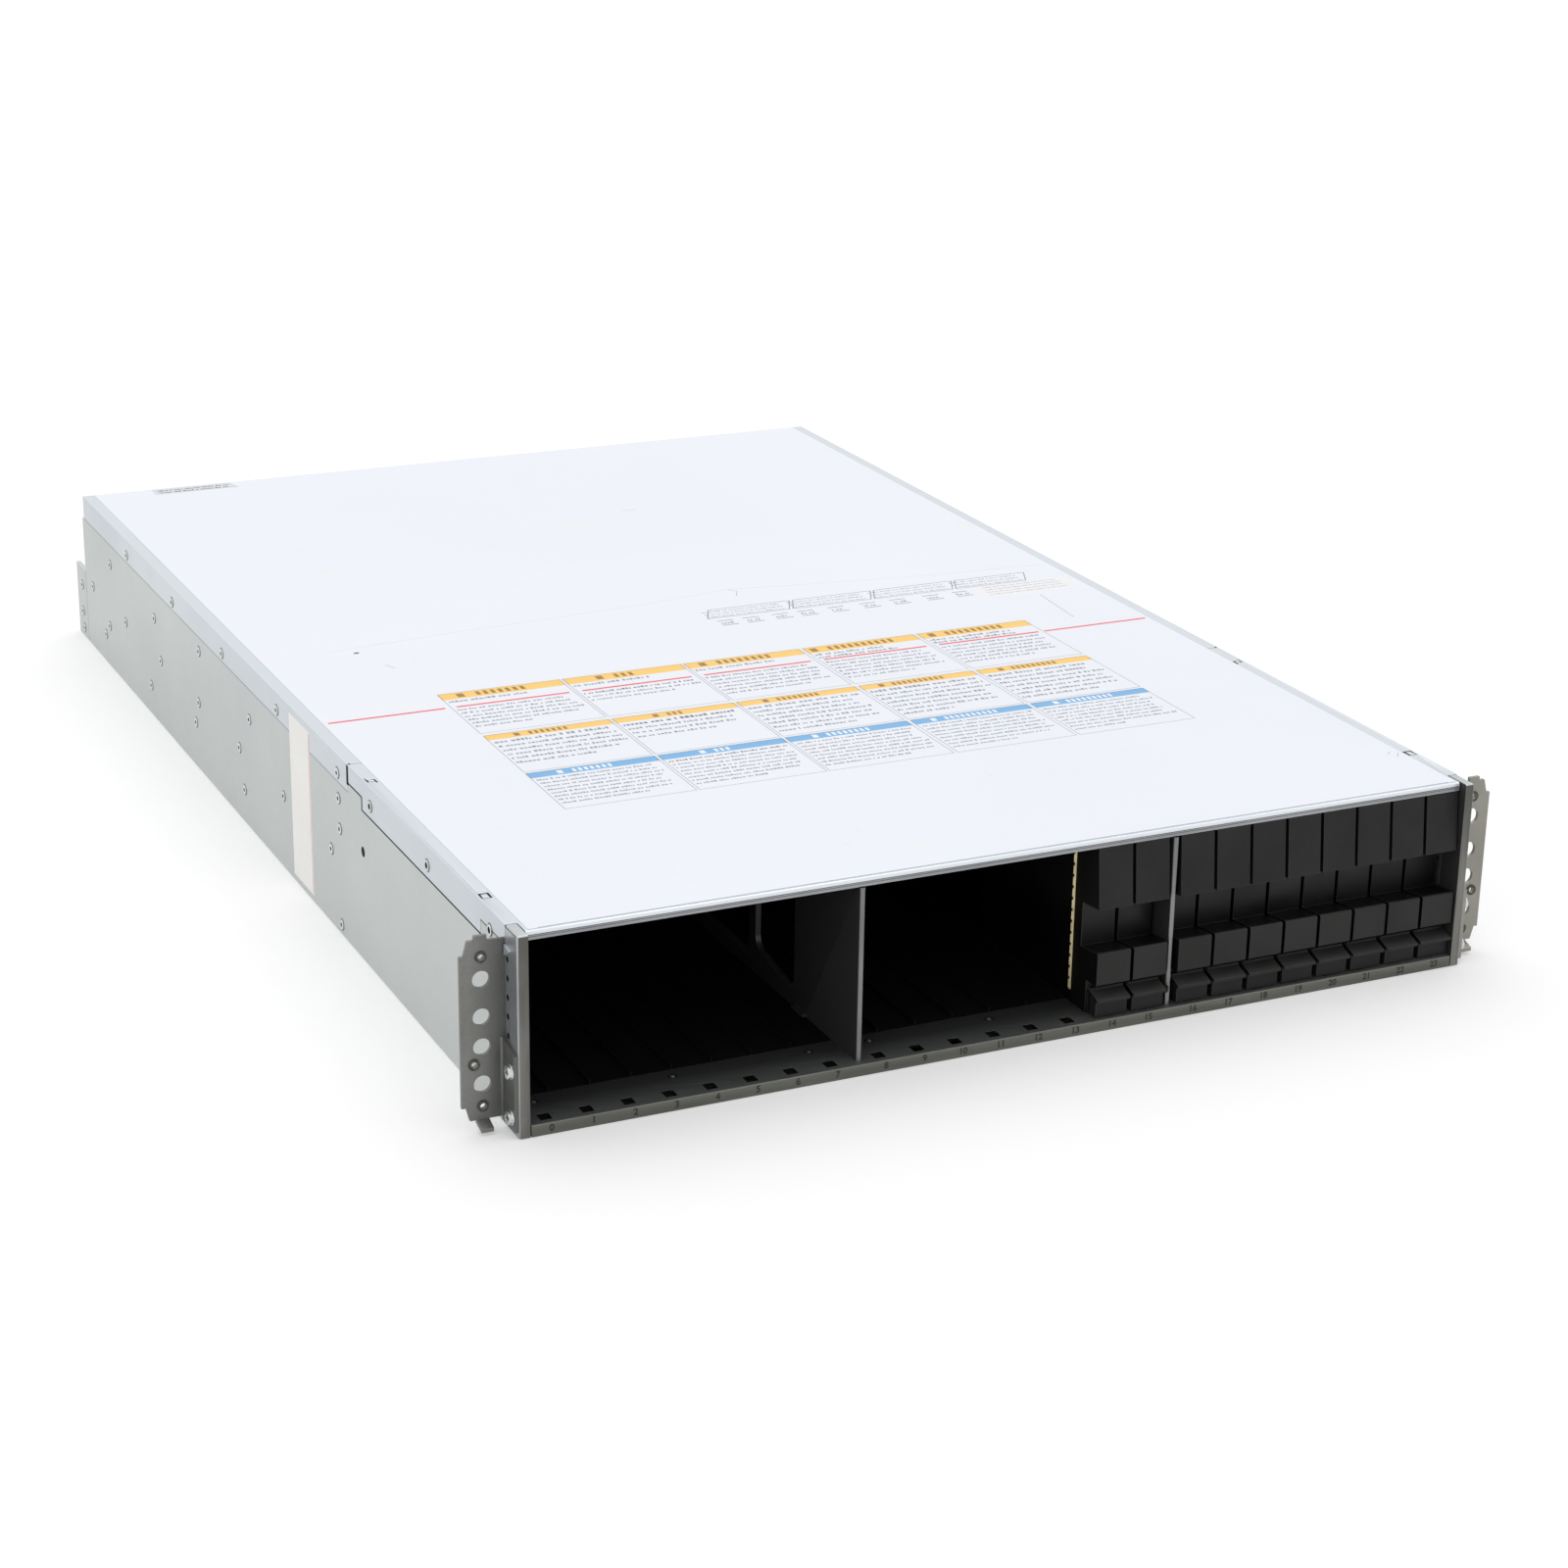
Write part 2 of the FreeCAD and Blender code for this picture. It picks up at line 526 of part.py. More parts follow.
# --------------------------------------------------------------------------------------
# Rack ears and fasteners
# --------------------------------------------------------------------------------------
def rack_ear(name, sign):
    """A pressed flange with the four rack holes, a leg along the side and two small tabs."""
    ear = body(f"{name}_rack_ear")
    edge, hole = "ear_edge", "ear_hole"
    outline = [("half", "ear_low"), (f"{edge} - ear_taper", "ear_low"),
               (f"{edge} - ear_step", "ear_low + ear_step_low"), (edge, "ear_low + ear_step_low"),
               (edge, "ear_top - ear_step_high"), (f"{edge} - ear_step", "ear_top - ear_step_high"),
               (f"{edge} - ear_taper", "ear_top"), (f"{hole} + ear_clip / 2", "ear_top"),
               (f"{hole} + ear_clip / 2", "ear_top + ear_clip_rise"),
               (f"{hole} - ear_clip / 2", "ear_top + ear_clip_rise"),
               (f"{hole} - ear_clip / 2", "ear_top - ear_top_slope / 2"),
               ("half", "ear_top - ear_top_slope")]
    outline = [(f"{sign} * ({across})", up) for across, up in outline]
    solid(ear, "Pad", f"{name}_flange", "XZ", [outline], "ear_front", "ear_wall")
    low, high = side_span(sign, "half", "half + ear_wall")
    nose, heel, notch_low = "front + ear_nose", "ear_low - ear_foot_drop", "ear_low + ear_foot_height"
    foot = [(nose, heel), (nose, "ear_low + ear_nose_height"), ("ear_front", notch_low),
            ("ear_back", notch_low), ("ear_back", heel)]
    solid(ear, "Pad", f"{name}_front_leg", "YZ", [foot], low, "ear_wall")
    leg = rectangle(("ear_front", "ear_front + ear_leg"),
                    (f"{notch_low} + ear_notch", "ear_top - ear_leg_drop"))
    solid(ear, "Pad", f"{name}_rear_leg", "YZ", [leg], low, "ear_wall")
    corner = number(f"{sign} * (half + ear_wall)")
    lines = (number("ear_front"), number("ear_back"))
    notch = number(notch_low)

    def bend(edge):
        """The inside corners: in front of the flange below the notch, behind it above."""
        if not spans(edge, 2) or abs(edge.Vertexes[0].X - corner) > 1e-6:
            return False
        middle = (edge.Vertexes[0].Z + edge.Vertexes[-1].Z) / 2
        return abs(edge.Vertexes[0].Y - lines[middle > notch]) < 1e-6

    rounded(ear, f"{name}_bend", "ear_bend", bend)
    tip, under = "ear_front - ear_clip_reach", "ear_low - ear_clip_drop"
    tab = [("ear_back", "ear_low + ear_wall"), ("ear_back", "ear_low - ear_wall"), (tip, under),
           (tip, f"{under} + ear_wall"), ("ear_front", "ear_low")]
    low, high = side_span(sign, f"{hole} - ear_clip / 2", f"{hole} + ear_clip / 2")
    solid(ear, "Pad", f"{name}_clip", "YZ", [tab], low, "ear_clip")
    across = f"{sign} * ({hole})"
    under_hole = "ear_hole_height - rack_hole_inner / 2 - rack_hole_radius - ear_tap_gap"
    taps = [(across, "(ear_top + ear_hole_height + ear_hole_reach) / 2 - ear_tap_drop"),
            (f"{sign} * ({hole} + ear_tap_shift)", under_hole),
            (across, "(ear_low + ear_hole_height - ear_hole_reach) / 2")]
    collars = [("circle", x, z, "ear_collar_radius") for x, z in taps]
    solid(ear, "Pad", f"{name}_collars", "XZ", collars, "ear_front - ear_collar",
          "ear_collar + ear_wall / 2")
    holes = [("circle", x, z, "ear_tap_radius") for x, z in taps]
    for reach in ("rack_hole_outer", "rack_hole_inner"):
        for way in (-1, 1):
            holes.append(("circle", across, f"ear_hole_height + {way} * {reach} / 2",
                          "rack_hole_radius"))
    solid(ear, "Pocket", f"{name}_ear_holes", "XZ", holes, "ear_front - ear_collar",
          "ear_collar + ear_wall")


def ear_screws():
    """Two cross-head screws with washers hold each ear to its side."""
    heads = []
    for level in ("screw_low", "screw_high"):
        place = ("-half - ear_wall", "front + screw_setback", level)
        washer = cylinder(f"{level}_washer", "x", "washer_radius",
                          (f"{place[0]} - washer_wall", *place[1:]), "washer_wall")
        head = cylinder(f"{level}_head", "x", "screw_radius",
                        (f"{place[0]} - washer_wall - screw_head", *place[1:]), "screw_head")
        outer = f"{place[0]} - washer_wall - screw_head"
        slots = []
        for name, tall, wide in (("upright", "cross_length", "cross_width"),
                                 ("level", "cross_width", "cross_length")):
            slots.append(box(f"{level}_{name}", (f"{outer} - overcut", f"{outer} + cross_depth"),
                             (f"{place[1]} - {wide} / 2", f"{place[1]} + {wide} / 2"),
                             (f"{place[2]} - {tall} / 2", f"{place[2]} + {tall} / 2")))
        heads.append(cut(f"{level}_screw", fuse(f"{level}_blank_head", [washer, head]), slots))
    left = group("left_screws", heads)
    node(group("ear_screws", [left, mirrored("right_screws", left)]), "ear_screws")


def rivets():
    """Ring-headed blind rivets on both sides, in rows and alone."""
    places = []
    cover_line = "height - cover_rivet_drop"
    split = "front + cover_split"
    for row, ends, above in (("front_rivet", ("front", split), cover_line),
                             ("rear_rivet", (split, "cover_end"), cover_line),
                             ("shelf_rivet", ("module_front", "cover_end"),
                              "shelf_height - shelf_rivet_drop")):
        first, last = f"{ends[0]} + {row}_start", f"{ends[1]} - {row}_end"
        for k in range(SIZES[f"{row}s"]):
            places.append((f"{first} + ({last} - ({first})) * {k} / ({row}s - 1)", above))
    for k, (along_from, up_from) in enumerate(RIVET_EDGES, 1):
        places.append((f"{along_from} + rivet_{k}_along", f"{up_from} + rivet_{k}_up"))
    heads = []
    for k, (behind, above) in enumerate(places):
        start = ("-half - rivet_head", behind, above)
        head = cylinder(f"rivet_head_{k}", "x", "rivet_radius", start, "rivet_head")
        dimple = cylinder(f"rivet_dimple_{k}", "x", "rivet_dimple", start, "rivet_head / 2")
        heads.append(cut(f"rivet_{k}", head, [dimple]))
    left = group("left_rivets", heads)
    node(group("body_rivets", [left, mirrored("right_rivets", left)]), "body_rivets")


# --------------------------------------------------------------------------------------
# Drive bay fittings
# --------------------------------------------------------------------------------------
def divider(name, sign):
    """An upright plate between two groups of bays, with two windows; the left has a foot."""
    plate = body(f"{name}_divider")
    low = f"{sign} * divider_centre - divider_wall / 2"
    nose, under_hem = "front + divider_setback", "hem_low - slide_gap"
    outline = [(nose, "sill_top"), ("guide_end", "sill_top"), ("guide_end", "comb_top"),
               ("hem_back", "comb_top"), ("hem_back", under_hem), (nose, under_hem)]
    solid(plate, "Pad", f"{name}_divider_plate", "YZ", [outline], low, "divider_wall")
    strut = "front + window_split + window_strut"
    windows = [
        [("front + window_start", "window_low"), ("front + window_split", "window_low + window_rise"),
         ("front + window_split", "window_top"), ("front + window_start", "window_top")],
        rectangle((strut, "window_end"), ("window_low", "window_top"))]
    solid(plate, "Pocket", f"{name}_divider_windows", "YZ", windows, low, "divider_wall")
    ends = [number(end) for end in (nose, "hem_back", "guide_end")]
    rounded(plate, f"{name}_window_corners", "window_corner", lambda edge: spans(edge, 0)
            and min(abs(edge.Vertexes[0].Y - end) for end in ends) > 1e-6)
    rounded(plate, f"{name}_divider_nose", "divider_nose", lambda edge: spans(edge, 2)
            and abs(edge.Vertexes[0].Y - ends[0]) < 1e-6)
    if sign < 0:
        start = "front + divider_foot_start"
        along = (start, f"{start} + divider_foot_length")
        foot = rectangle((f"{low} - divider_foot_width", low), along)
        solid(plate, "Pad", f"{name}_divider_foot", "XY", [foot], "sill_top", "steel")


def drive_guides():
    """Two moulded combs: ribs between the bays, on the floor and under the cover."""
    start = "front + sill_depth + slide_gap"
    lower = [box("lower_comb_plate", ("-sill_half", "sill_half"), (start, "guide_end"),
                 ("sill_top - steel", "sill_top"))]
    nose = "hem_back"
    upper = [box("upper_comb_plate", ("-sill_half", "sill_half"), (nose, "guide_end"),
                 ("comb_top", "cover_low"))]
    face = "divider_centre + divider_wall / 2"
    inside = "divider_centre - divider_wall / 2"
    rims = (("-sill_half", f"-({face})"), (f"-({inside})", inside), (face, "sill_half"))
    for k, ends in enumerate(rims):
        upper.append(box(f"upper_rim_{k}", ends, (nose, f"{nose} + steel"),
                         ("comb_top - comb_rim", "comb_top")))
    group_size = SIZES["bays_per_group"]
    for bay in range(3 * group_size - 1):
        if (bay + 1) % group_size == 0:
            continue
        line = f"{bay_centre(bay)} + bay_pitch / 2"
        across = (f"{line} - rib_wall / 2", f"{line} + rib_wall / 2")
        lower.append(box(f"lower_rib_{bay}", across, (start, "guide_end"),
                         ("steel", "sill_top + comb_rib")))
        upper.append(box(f"upper_rib_{bay}", across, (start, "guide_end"),
                         ("blank_high - comb_rib", "comb_top")))
    node(group("drive_guides", [fuse("lower_comb", lower), fuse("upper_comb", upper)]),
         "drive_guides")


def midplane():
    """The board behind the bays, its sockets on both faces and the rails that hold it."""
    board = body("midplane_board")
    top = "cover_low - board_low + steel"
    outline = rectangle(("-sill_half", "sill_half"), ("board_low", top))
    solid(board, "Pad", "board_sheet", "XZ", [outline], "board_front", "board_wall")
    for turn in range(3):
        centre = bay_centre(turn * SIZES["bays_per_group"])
        across = (f"{centre} - vent_width / 2", f"{centre} + vent_width / 2")
        vents = [rectangle(across, ("vent_low", "vent_low + vent_length")),
                 rectangle(across, (f"{top} - vent_low + board_low - vent_length",
                                    f"{top} - vent_low + board_low"))]
        first = solid(board, "Pocket", f"vents_{turn}", "XZ", vents, "board_front", "board_wall")
        repeated(board, f"vent_row_{turn}", first, "bays_per_group",
                 "(bays_per_group - 1) * bay_pitch")
    sockets = []
    for bay in range(3 * SIZES["bays_per_group"]):
        centre = bay_centre(bay)
        across = (f"{centre} - socket_width / 2", f"{centre} + socket_width / 2")
        height = ("socket_low", "socket_low + socket_length")
        face = "board_front - socket_depth"
        housing = box(f"socket_housing_{bay}", across, (face, "board_front"), height)
        mouth = box(f"socket_mouth_{bay}", (f"{centre} - socket_slot / 2", f"{centre} + socket_slot / 2"),
                    (face, "board_front - steel"),
                    ("socket_low + steel", "socket_low + socket_length - steel"))
        sockets.append(cut(f"socket_{bay}", housing, [mouth]))
    for level, base in LEVELS:
        middle_height = f"{base} + module_height / 2"
        up = (f"{middle_height} - socket_depth", f"{middle_height} + socket_depth / 2")
        for kind in ("psu", "io"):
            middle = f"({kind}_left + {kind}_right) / 2"
            across = (f"{middle} - socket_length", f"{middle} + socket_length")
            sockets.append(box(f"{kind}_{level}_socket", across,
                               ("board_back", "module_front - slide_gap"), up))
    node(group("midplane_sockets", sockets), "midplane_sockets")
    rails = []
    lip = ("board_front - steel", "board_back + steel")
    for level, flat, groove in (("lower", ("steel", "board_low"), ("board_low", "board_low + rail_lip")),
                                ("upper", (top, "cover_low"), (f"{top} - rail_lip", top))):
        ends = ("-sill_half", "sill_half")
        rails.append(fuse(f"{level}_rail", [
            box(f"{level}_rail_base", ends, lip, flat),
            box(f"{level}_rail_back", ends, ("board_back", "board_back + steel"), groove)]))
    node(group("midplane_rails", rails), "midplane_rails")


# --------------------------------------------------------------------------------------
# Drive blanks
# --------------------------------------------------------------------------------------
def drive_blank(bay):
    """A moulded filler: head, finger recess, lower block, latch foot with its ledge."""
    name = f"drive_blank_{bay}"
    blank = body(name)
    left = f"{bay_centre(bay)} - blank_width / 2"
    shoulder = "front + finger_depth"
    lean = "front + blank_face + head_lean"
    floor = "lower_top - recess_fall"
    outline = [(lean, "blank_high"), ("front + blank_face", "blank_head_low"),
               (shoulder, "blank_head_low - ledge_wall"), (shoulder, floor),
               ("front + lower_face", "lower_top"), ("front + lower_face", "lower_low"),
               ("front + neck_depth", "lower_low"), ("front + neck_depth", "blank_low"),
               ("front + blank_length", "blank_low"), ("front + blank_length", "blank_high")]
    solid(blank, "Pad", f"{name}_front", "YZ", [outline], left, "blank_width")
    inside = rectangle((f"{shoulder} + blank_wall", "front + blank_length"),
                       ("blank_low + blank_wall", "blank_high - blank_wall"))
    hollow_left, hollow_width = f"{left} + blank_wall", "blank_width - 2 * blank_wall"
    solid(blank, "Pocket", f"{name}_hollow", "YZ", [inside], hollow_left, hollow_width)
    rear = f"{shoulder} + 2 * blank_wall"
    pockets = [
        [("front + blank_face + blank_wall", "blank_head_low + blank_wall"),
         (rear, "blank_head_low + blank_wall"), (rear, "blank_high - blank_wall"),
         (f"{lean} + blank_wall", "blank_high - blank_wall")],
        rectangle(("front + lower_face + blank_wall", rear),
                  ("lower_low + blank_wall", f"{floor} - blank_wall"))]
    solid(blank, "Pocket", f"{name}_relief", "YZ", pockets, hollow_left, hollow_width)
    face = number("front + lower_face")
    edges = (number("lower_top"), number("lower_low"))
    rounded(blank, f"{name}_round", "blank_round", lambda edge: spans(edge, 0)
            and abs(edge.Vertexes[0].Y - face) < 1e-6
            and min(abs(edge.Vertexes[0].Z - level) for level in edges) < 1e-6)
    foot = rectangle(("front + foot_face", "front + neck_depth + blank_wall"), ("blank_low", "foot_top"))
    solid(blank, "Pad", f"{name}_foot", "YZ", [foot], f"{left} + foot_inset",
          "blank_width - foot_inset + foot_reach")
    ledge = [("front + neck_depth", "foot_top"), ("front + ledge_tip", "foot_top - ledge_drop"),
             ("front + ledge_tip", "foot_top - ledge_drop - ledge_wall"),
             ("front + neck_depth", "foot_top - ledge_wall")]
    solid(blank, "Pad", f"{name}_ledge", "YZ", [ledge], f"{left} + ledge_inset",
          "blank_width - ledge_inset + foot_reach")


def contact_spring(bay):
    """A bowed strip of finger contacts along the left flank of the blank."""
    name = f"contact_spring_{bay}"
    spring = body(name)
    flank = f"{bay_centre(bay)} - blank_width / 2"
    start, end = "front + spring_setback", "front + spring_setback + spring_width"
    third = "spring_width / 3"
    crest = f"{flank} - spring_bow"
    bow = [(flank, start), (crest, f"{start} + {third}"), (crest, f"{end} - {third}"), (flank, end),
           (flank, f"{end} - spring_wall"), (f"{crest} + spring_wall", f"{end} - {third}"),
           (f"{crest} + spring_wall", f"{start} + {third}"), (flank, f"{start} + spring_wall")]
    solid(spring, "Pad", f"{name}_strip", "XY", [bow], "spring_low", "spring_length")
    slot = rectangle((f"{start} + {third}", end),
                     ("spring_low + spring_pitch", "spring_low + spring_pitch + spring_slot"))
    first = solid(spring, "Pocket", f"{name}_slot", "YZ", [slot], f"{crest} - overcut",
                  "overcut + spring_bow")
    row = spring.newObject("PartDesign::LinearPattern", f"{name}_slots")
    row.Originals = [first]
    up = [f for f in spring.Origin.OriginFeatures if f.Role == "Z_Axis"][0]
    row.Direction = (up, [""])
    row.setExpression("Occurrences", bound("floor(spring_length / spring_pitch) - 1"))
    row.setExpression("Length", bound("(floor(spring_length / spring_pitch) - 2) * spring_pitch"))
    spring.Tip = row


# --------------------------------------------------------------------------------------
# Rear section
# --------------------------------------------------------------------------------------
def rear_frame():
    """The mid shelf, the upright wall between the module columns and the rear brackets."""
    shelf = body("mid_shelf")
    drop = "shelf_height + steel - shelf_flange"
    over = "shelf_height + steel"
    profile = [("-inner", drop), ("-liner", drop), ("-liner", "shelf_height"),
               ("liner", "shelf_height"), ("liner", drop), ("inner", drop), ("inner", over),
               ("-inner", over)]
    solid(shelf, "Pad", "shelf_bend", "XZ", [profile], "module_front", "shelf_end - module_front")
    wall = ("wall_left", "wall_left + steel")
    along = ("module_front", "shelf_end")
    node(group("module_walls", [box("lower_wall", wall, along, ("steel", "shelf_height")),
                                box("upper_wall", wall, along, (over, "cover_low"))]), "module_walls")
    for name, sign in SIDES:
        bracket = body(f"{name}_rear_bracket")
        start, behind = "cover_end - bracket_overlap", "cover_end + slide_gap"
        leg = [(start, "bracket_leg_low"), (start, "bracket_leg_top"), (behind, "bracket_leg_top"),
               (behind, "bracket_height"), ("back", "bracket_height"), ("back", "0"),
               (behind, "0"), (behind, "bracket_leg_low")]
        low, high = side_span(sign, "liner", "inner")
        solid(bracket, "Pad", f"{name}_bracket_leg", "YZ", [leg], low, "steel")
        face = rectangle(("side_end + seam_gap", "back"), ("0", "bracket_height"))
        low, high = side_span(sign, "inner", "half")
        solid(bracket, "Pad", f"{name}_bracket_face", "YZ", [face], low, "steel")


def pivot_lugs(name, pivot, base):
    """Two lugs and a pin on a module's rear face that carry its ejector lever."""
    middle = f"{base} + module_height / 2"
    top, low = f"{middle} + lever_height / 2 + slide_gap", f"{middle} - lever_height / 2 - slide_gap"
    across = (f"{pivot} - lever_radius", f"{pivot} + lever_radius")
    along = ("module_rear", "pivot_line + lever_radius")
    return [box(f"{name}_top_lug", across, along, (top, f"{top} + lug_wall")),
            box(f"{name}_low_lug", across, along, (f"{low} - lug_wall", low)),
            cylinder(f"{name}_pin", "z", "fan_pin", (pivot, "pivot_line", low), f"{top} - ({low})")]


def ejector_lever(name, pivot, run, base):
    """A flat lever on a round knuckle, with a tab turned out at its free end."""
    lever = body(name)
    low = f"{base} + module_height / 2 - lever_height / 2"
    near, far = "pivot_line - lever_wall / 2", "pivot_line + lever_wall / 2"
    arm = [(pivot, near), (f"{pivot} + {run}", near), (f"{pivot} + {run}", f"{near} + lever_tab"),
           (f"{pivot} + {run} - lever_wall", f"{near} + lever_tab"),
           (f"{pivot} + {run} - lever_wall", far), (pivot, far)]
    solid(lever, "Pad", f"{name}_knuckle", "XY", [("circle", pivot, "pivot_line", "lever_radius")],
          low, "lever_height")
    solid(lever, "Pad", f"{name}_arm", "XY", [arm], low, "lever_height")
    solid(lever, "Pocket", f"{name}_bore", "XY",
          [("circle", pivot, "pivot_line", "fan_pin + run_gap")], low, "lever_height")


def shell(name, left, right, base):
    """A closed sheet-metal canister and the space inside it."""
    along = ("module_front", "module_rear")
    height = (base, f"{base} + module_height")
    outer = box(f"{name}_outer", (left, right), along, height)
    inner = box(f"{name}_inner", (f"{left} + case_wall", f"{right} - case_wall"),
                (f"{along[0]} + case_wall", f"{along[1]} - case_wall"),
                (f"{height[0]} + case_wall", f"{height[1]} - case_wall"))
    return outer, inner


def cross(name, fan_x, middle, wide, along):
    """A flat and an upright bar that meet at the fan's axis and end in its bore's wall."""
    reach = "fan_bore + ring_bite"
    long = [(f"{centre} - ({reach})", f"{centre} + {reach}") for centre in (fan_x, middle)]
    short = [(f"{centre} - {wide} / 2", f"{centre} + {wide} / 2") for centre in (fan_x, middle)]
    return [box(f"{name}_flat", long[0], along, short[1]),
            box(f"{name}_tall", short[0], along, long[1])]


def power_supply(level, base):
    """A canister with a guarded fan and a power inlet at the rear, and an ejector lever."""
    name = f"psu_{level}"
    middle = f"{base} + module_height / 2"
    wall = "module_rear - case_wall"
    outer, inner = shell(name, "psu_left", "psu_right", base)
    fan_x = "psu_left + fan_centre"
    through = "case_wall + 2 * overcut"
    mouth = cylinder(f"{name}_mouth", "y", "fan_bore", (fan_x, f"{wall} - overcut", middle), through)
    inlet_x = "psu_left + inlet_centre"
    hatch = box(f"{name}_hatch", (f"{inlet_x} - inlet_width / 2", f"{inlet_x} + inlet_width / 2"),
                (f"{wall} - overcut", "module_rear + overcut"),
                (f"{middle} - inlet_height / 2", f"{middle} + inlet_height / 2"))
    case = cut(f"{name}_canister", outer, [inner, mouth, hatch])
    guard = []
    for ring in range(1, SIZES["grille_rings"] + 1):
        reach = f"fan_bore * {ring} / grille_rings"
        disc = cylinder(f"{name}_ring_{ring}", "y", reach, (fan_x, wall, middle), "case_wall")
        core = cylinder(f"{name}_core_{ring}", "y", f"{reach} - grille_wall",
                        (fan_x, f"{wall} - overcut", middle), through)
        guard.append(cut(f"{name}_guard_{ring}", disc, [core]))
    guard += cross(f"{name}_cross", fan_x, middle, "grille_wall", (wall, "module_rear"))
    pivot = "psu_left + psu_lever_centre"
    node(fuse(f"{name}_case", [case, *guard, *pivot_lugs(name, pivot, base)]), f"{name}_case")
    ejector_lever(f"{name}_lever", pivot, "psu_lever_run", base)
    power_inlet(name, inlet_x, middle)
    fan(name, fan_x, middle)


def power_inlet(name, inlet_x, middle):
    """A moulded three-blade appliance inlet set in the rear wall."""
    rim = "module_rear + inlet_rim / 2"
    across = (f"{inlet_x} - inlet_width / 2", f"{inlet_x} + inlet_width / 2")
    height = (f"{middle} - inlet_height / 2", f"{middle} + inlet_height / 2")
    block = box(f"{name}_inlet_block", across, ("module_rear - inlet_depth", rim), height)
    socket = box(f"{name}_inlet_socket", (f"{across[0]} + inlet_rim", f"{across[1]} - inlet_rim"),
                 ("module_rear - inlet_depth + inlet_rim", f"{rim} + overcut"),
                 (f"{height[0]} + inlet_rim", f"{height[1]} - inlet_rim"))
    pins = []
    along = ("module_rear - inlet_depth + inlet_rim / 2", "module_rear - inlet_depth / 3")
    for k, (sideways, up) in enumerate(((-1, -1), (0, 1), (1, -1))):
        blade_x = f"{inlet_x} + {sideways} * blade_spread"
        blade_z = f"{middle} + {up} * blade_offset"
        pins.append(box(f"{name}_blade_{k}", (f"{blade_x} - blade_pin / 2", f"{blade_x} + blade_pin / 2"),
                        along, (f"{blade_z} - blade_pin", f"{blade_z} + blade_pin")))
    shroud = cut(f"{name}_inlet_shell", block, [socket])
    node(fuse(f"{name}_inlet", [shroud, *pins]), f"{name}_inlet")


def fan(name, fan_x, middle):
    """A square frame that carries a pin on four struts, and the bladed rotor on that pin."""
    rear = "module_rear - case_wall"
    front = f"{rear} - fan_depth"
    block = box(f"{name}_fan_block", (f"{fan_x} - fan_size / 2", f"{fan_x} + fan_size / 2"),
                (front, rear), (f"{middle} - fan_size / 2", f"{middle} + fan_size / 2"))
    tunnel = cylinder(f"{name}_tunnel", "y", "fan_bore", (fan_x, f"{front} - overcut", middle),
                      "fan_depth + 2 * overcut")
    seat = cylinder(f"{name}_seat", "y", "fan_hub", (fan_x, f"{rear} - fan_strut", middle), "fan_strut")
    pin = cylinder(f"{name}_fan_pin", "y", "fan_pin", (fan_x, f"{front} + pin_setback", middle),
                   "fan_depth - pin_setback - fan_strut")
    struts = cross(f"{name}_strut", fan_x, middle, "fan_strut", (f"{rear} - fan_strut", rear))
    frame = cut(f"{name}_fan_housing", block, [tunnel])
    node(fuse(f"{name}_fan_frame", [frame, seat, pin, *struts]), f"{name}_fan_frame")

    rotor = body(f"{name}_fan_rotor")
    thick = "fan_depth - fan_strut - 3 * slide_gap - pin_setback"
    rotor.setExpression("Placement.Base.x", bound(fan_x))
    rotor.setExpression("Placement.Base.y", bound(f"{front} + pin_setback + slide_gap"))
    rotor.setExpression("Placement.Base.z", bound(middle))
    solid(rotor, "Pad", f"{name}_hub", "XZ", [("circle", "0", "0", "fan_hub")], "0", thick)
    near, far = "blade_inset", f"{thick} - blade_inset"
    lean = [(near, "-blade_lean - blade_wall / 2"), (near, "-blade_lean + blade_wall / 2"),
            (far, "blade_lean + blade_wall / 2"), (far, "blade_lean - blade_wall / 2")]
    blade = solid(rotor, "Pad", f"{name}_blade", "YZ", [lean], "fan_hub / 2",
                  "fan_tip - fan_hub / 2 - blade_short")
    ring = rotor.newObject("PartDesign::PolarPattern", f"{name}_blades")
    ring.Originals = [blade]
    ring.Axis = ([f for f in rotor.Origin.OriginFeatures if f.Role == "Y_Axis"][0], [""])
    ring.Angle = 360
    ring.setExpression("Occurrences", bound("fan_blades"))
    rotor.Tip = ring
    solid(rotor, "Pocket", f"{name}_rotor_bore", "XZ", [("circle", "0", "0", "fan_pin + run_gap / 2")],
          "0", thick)


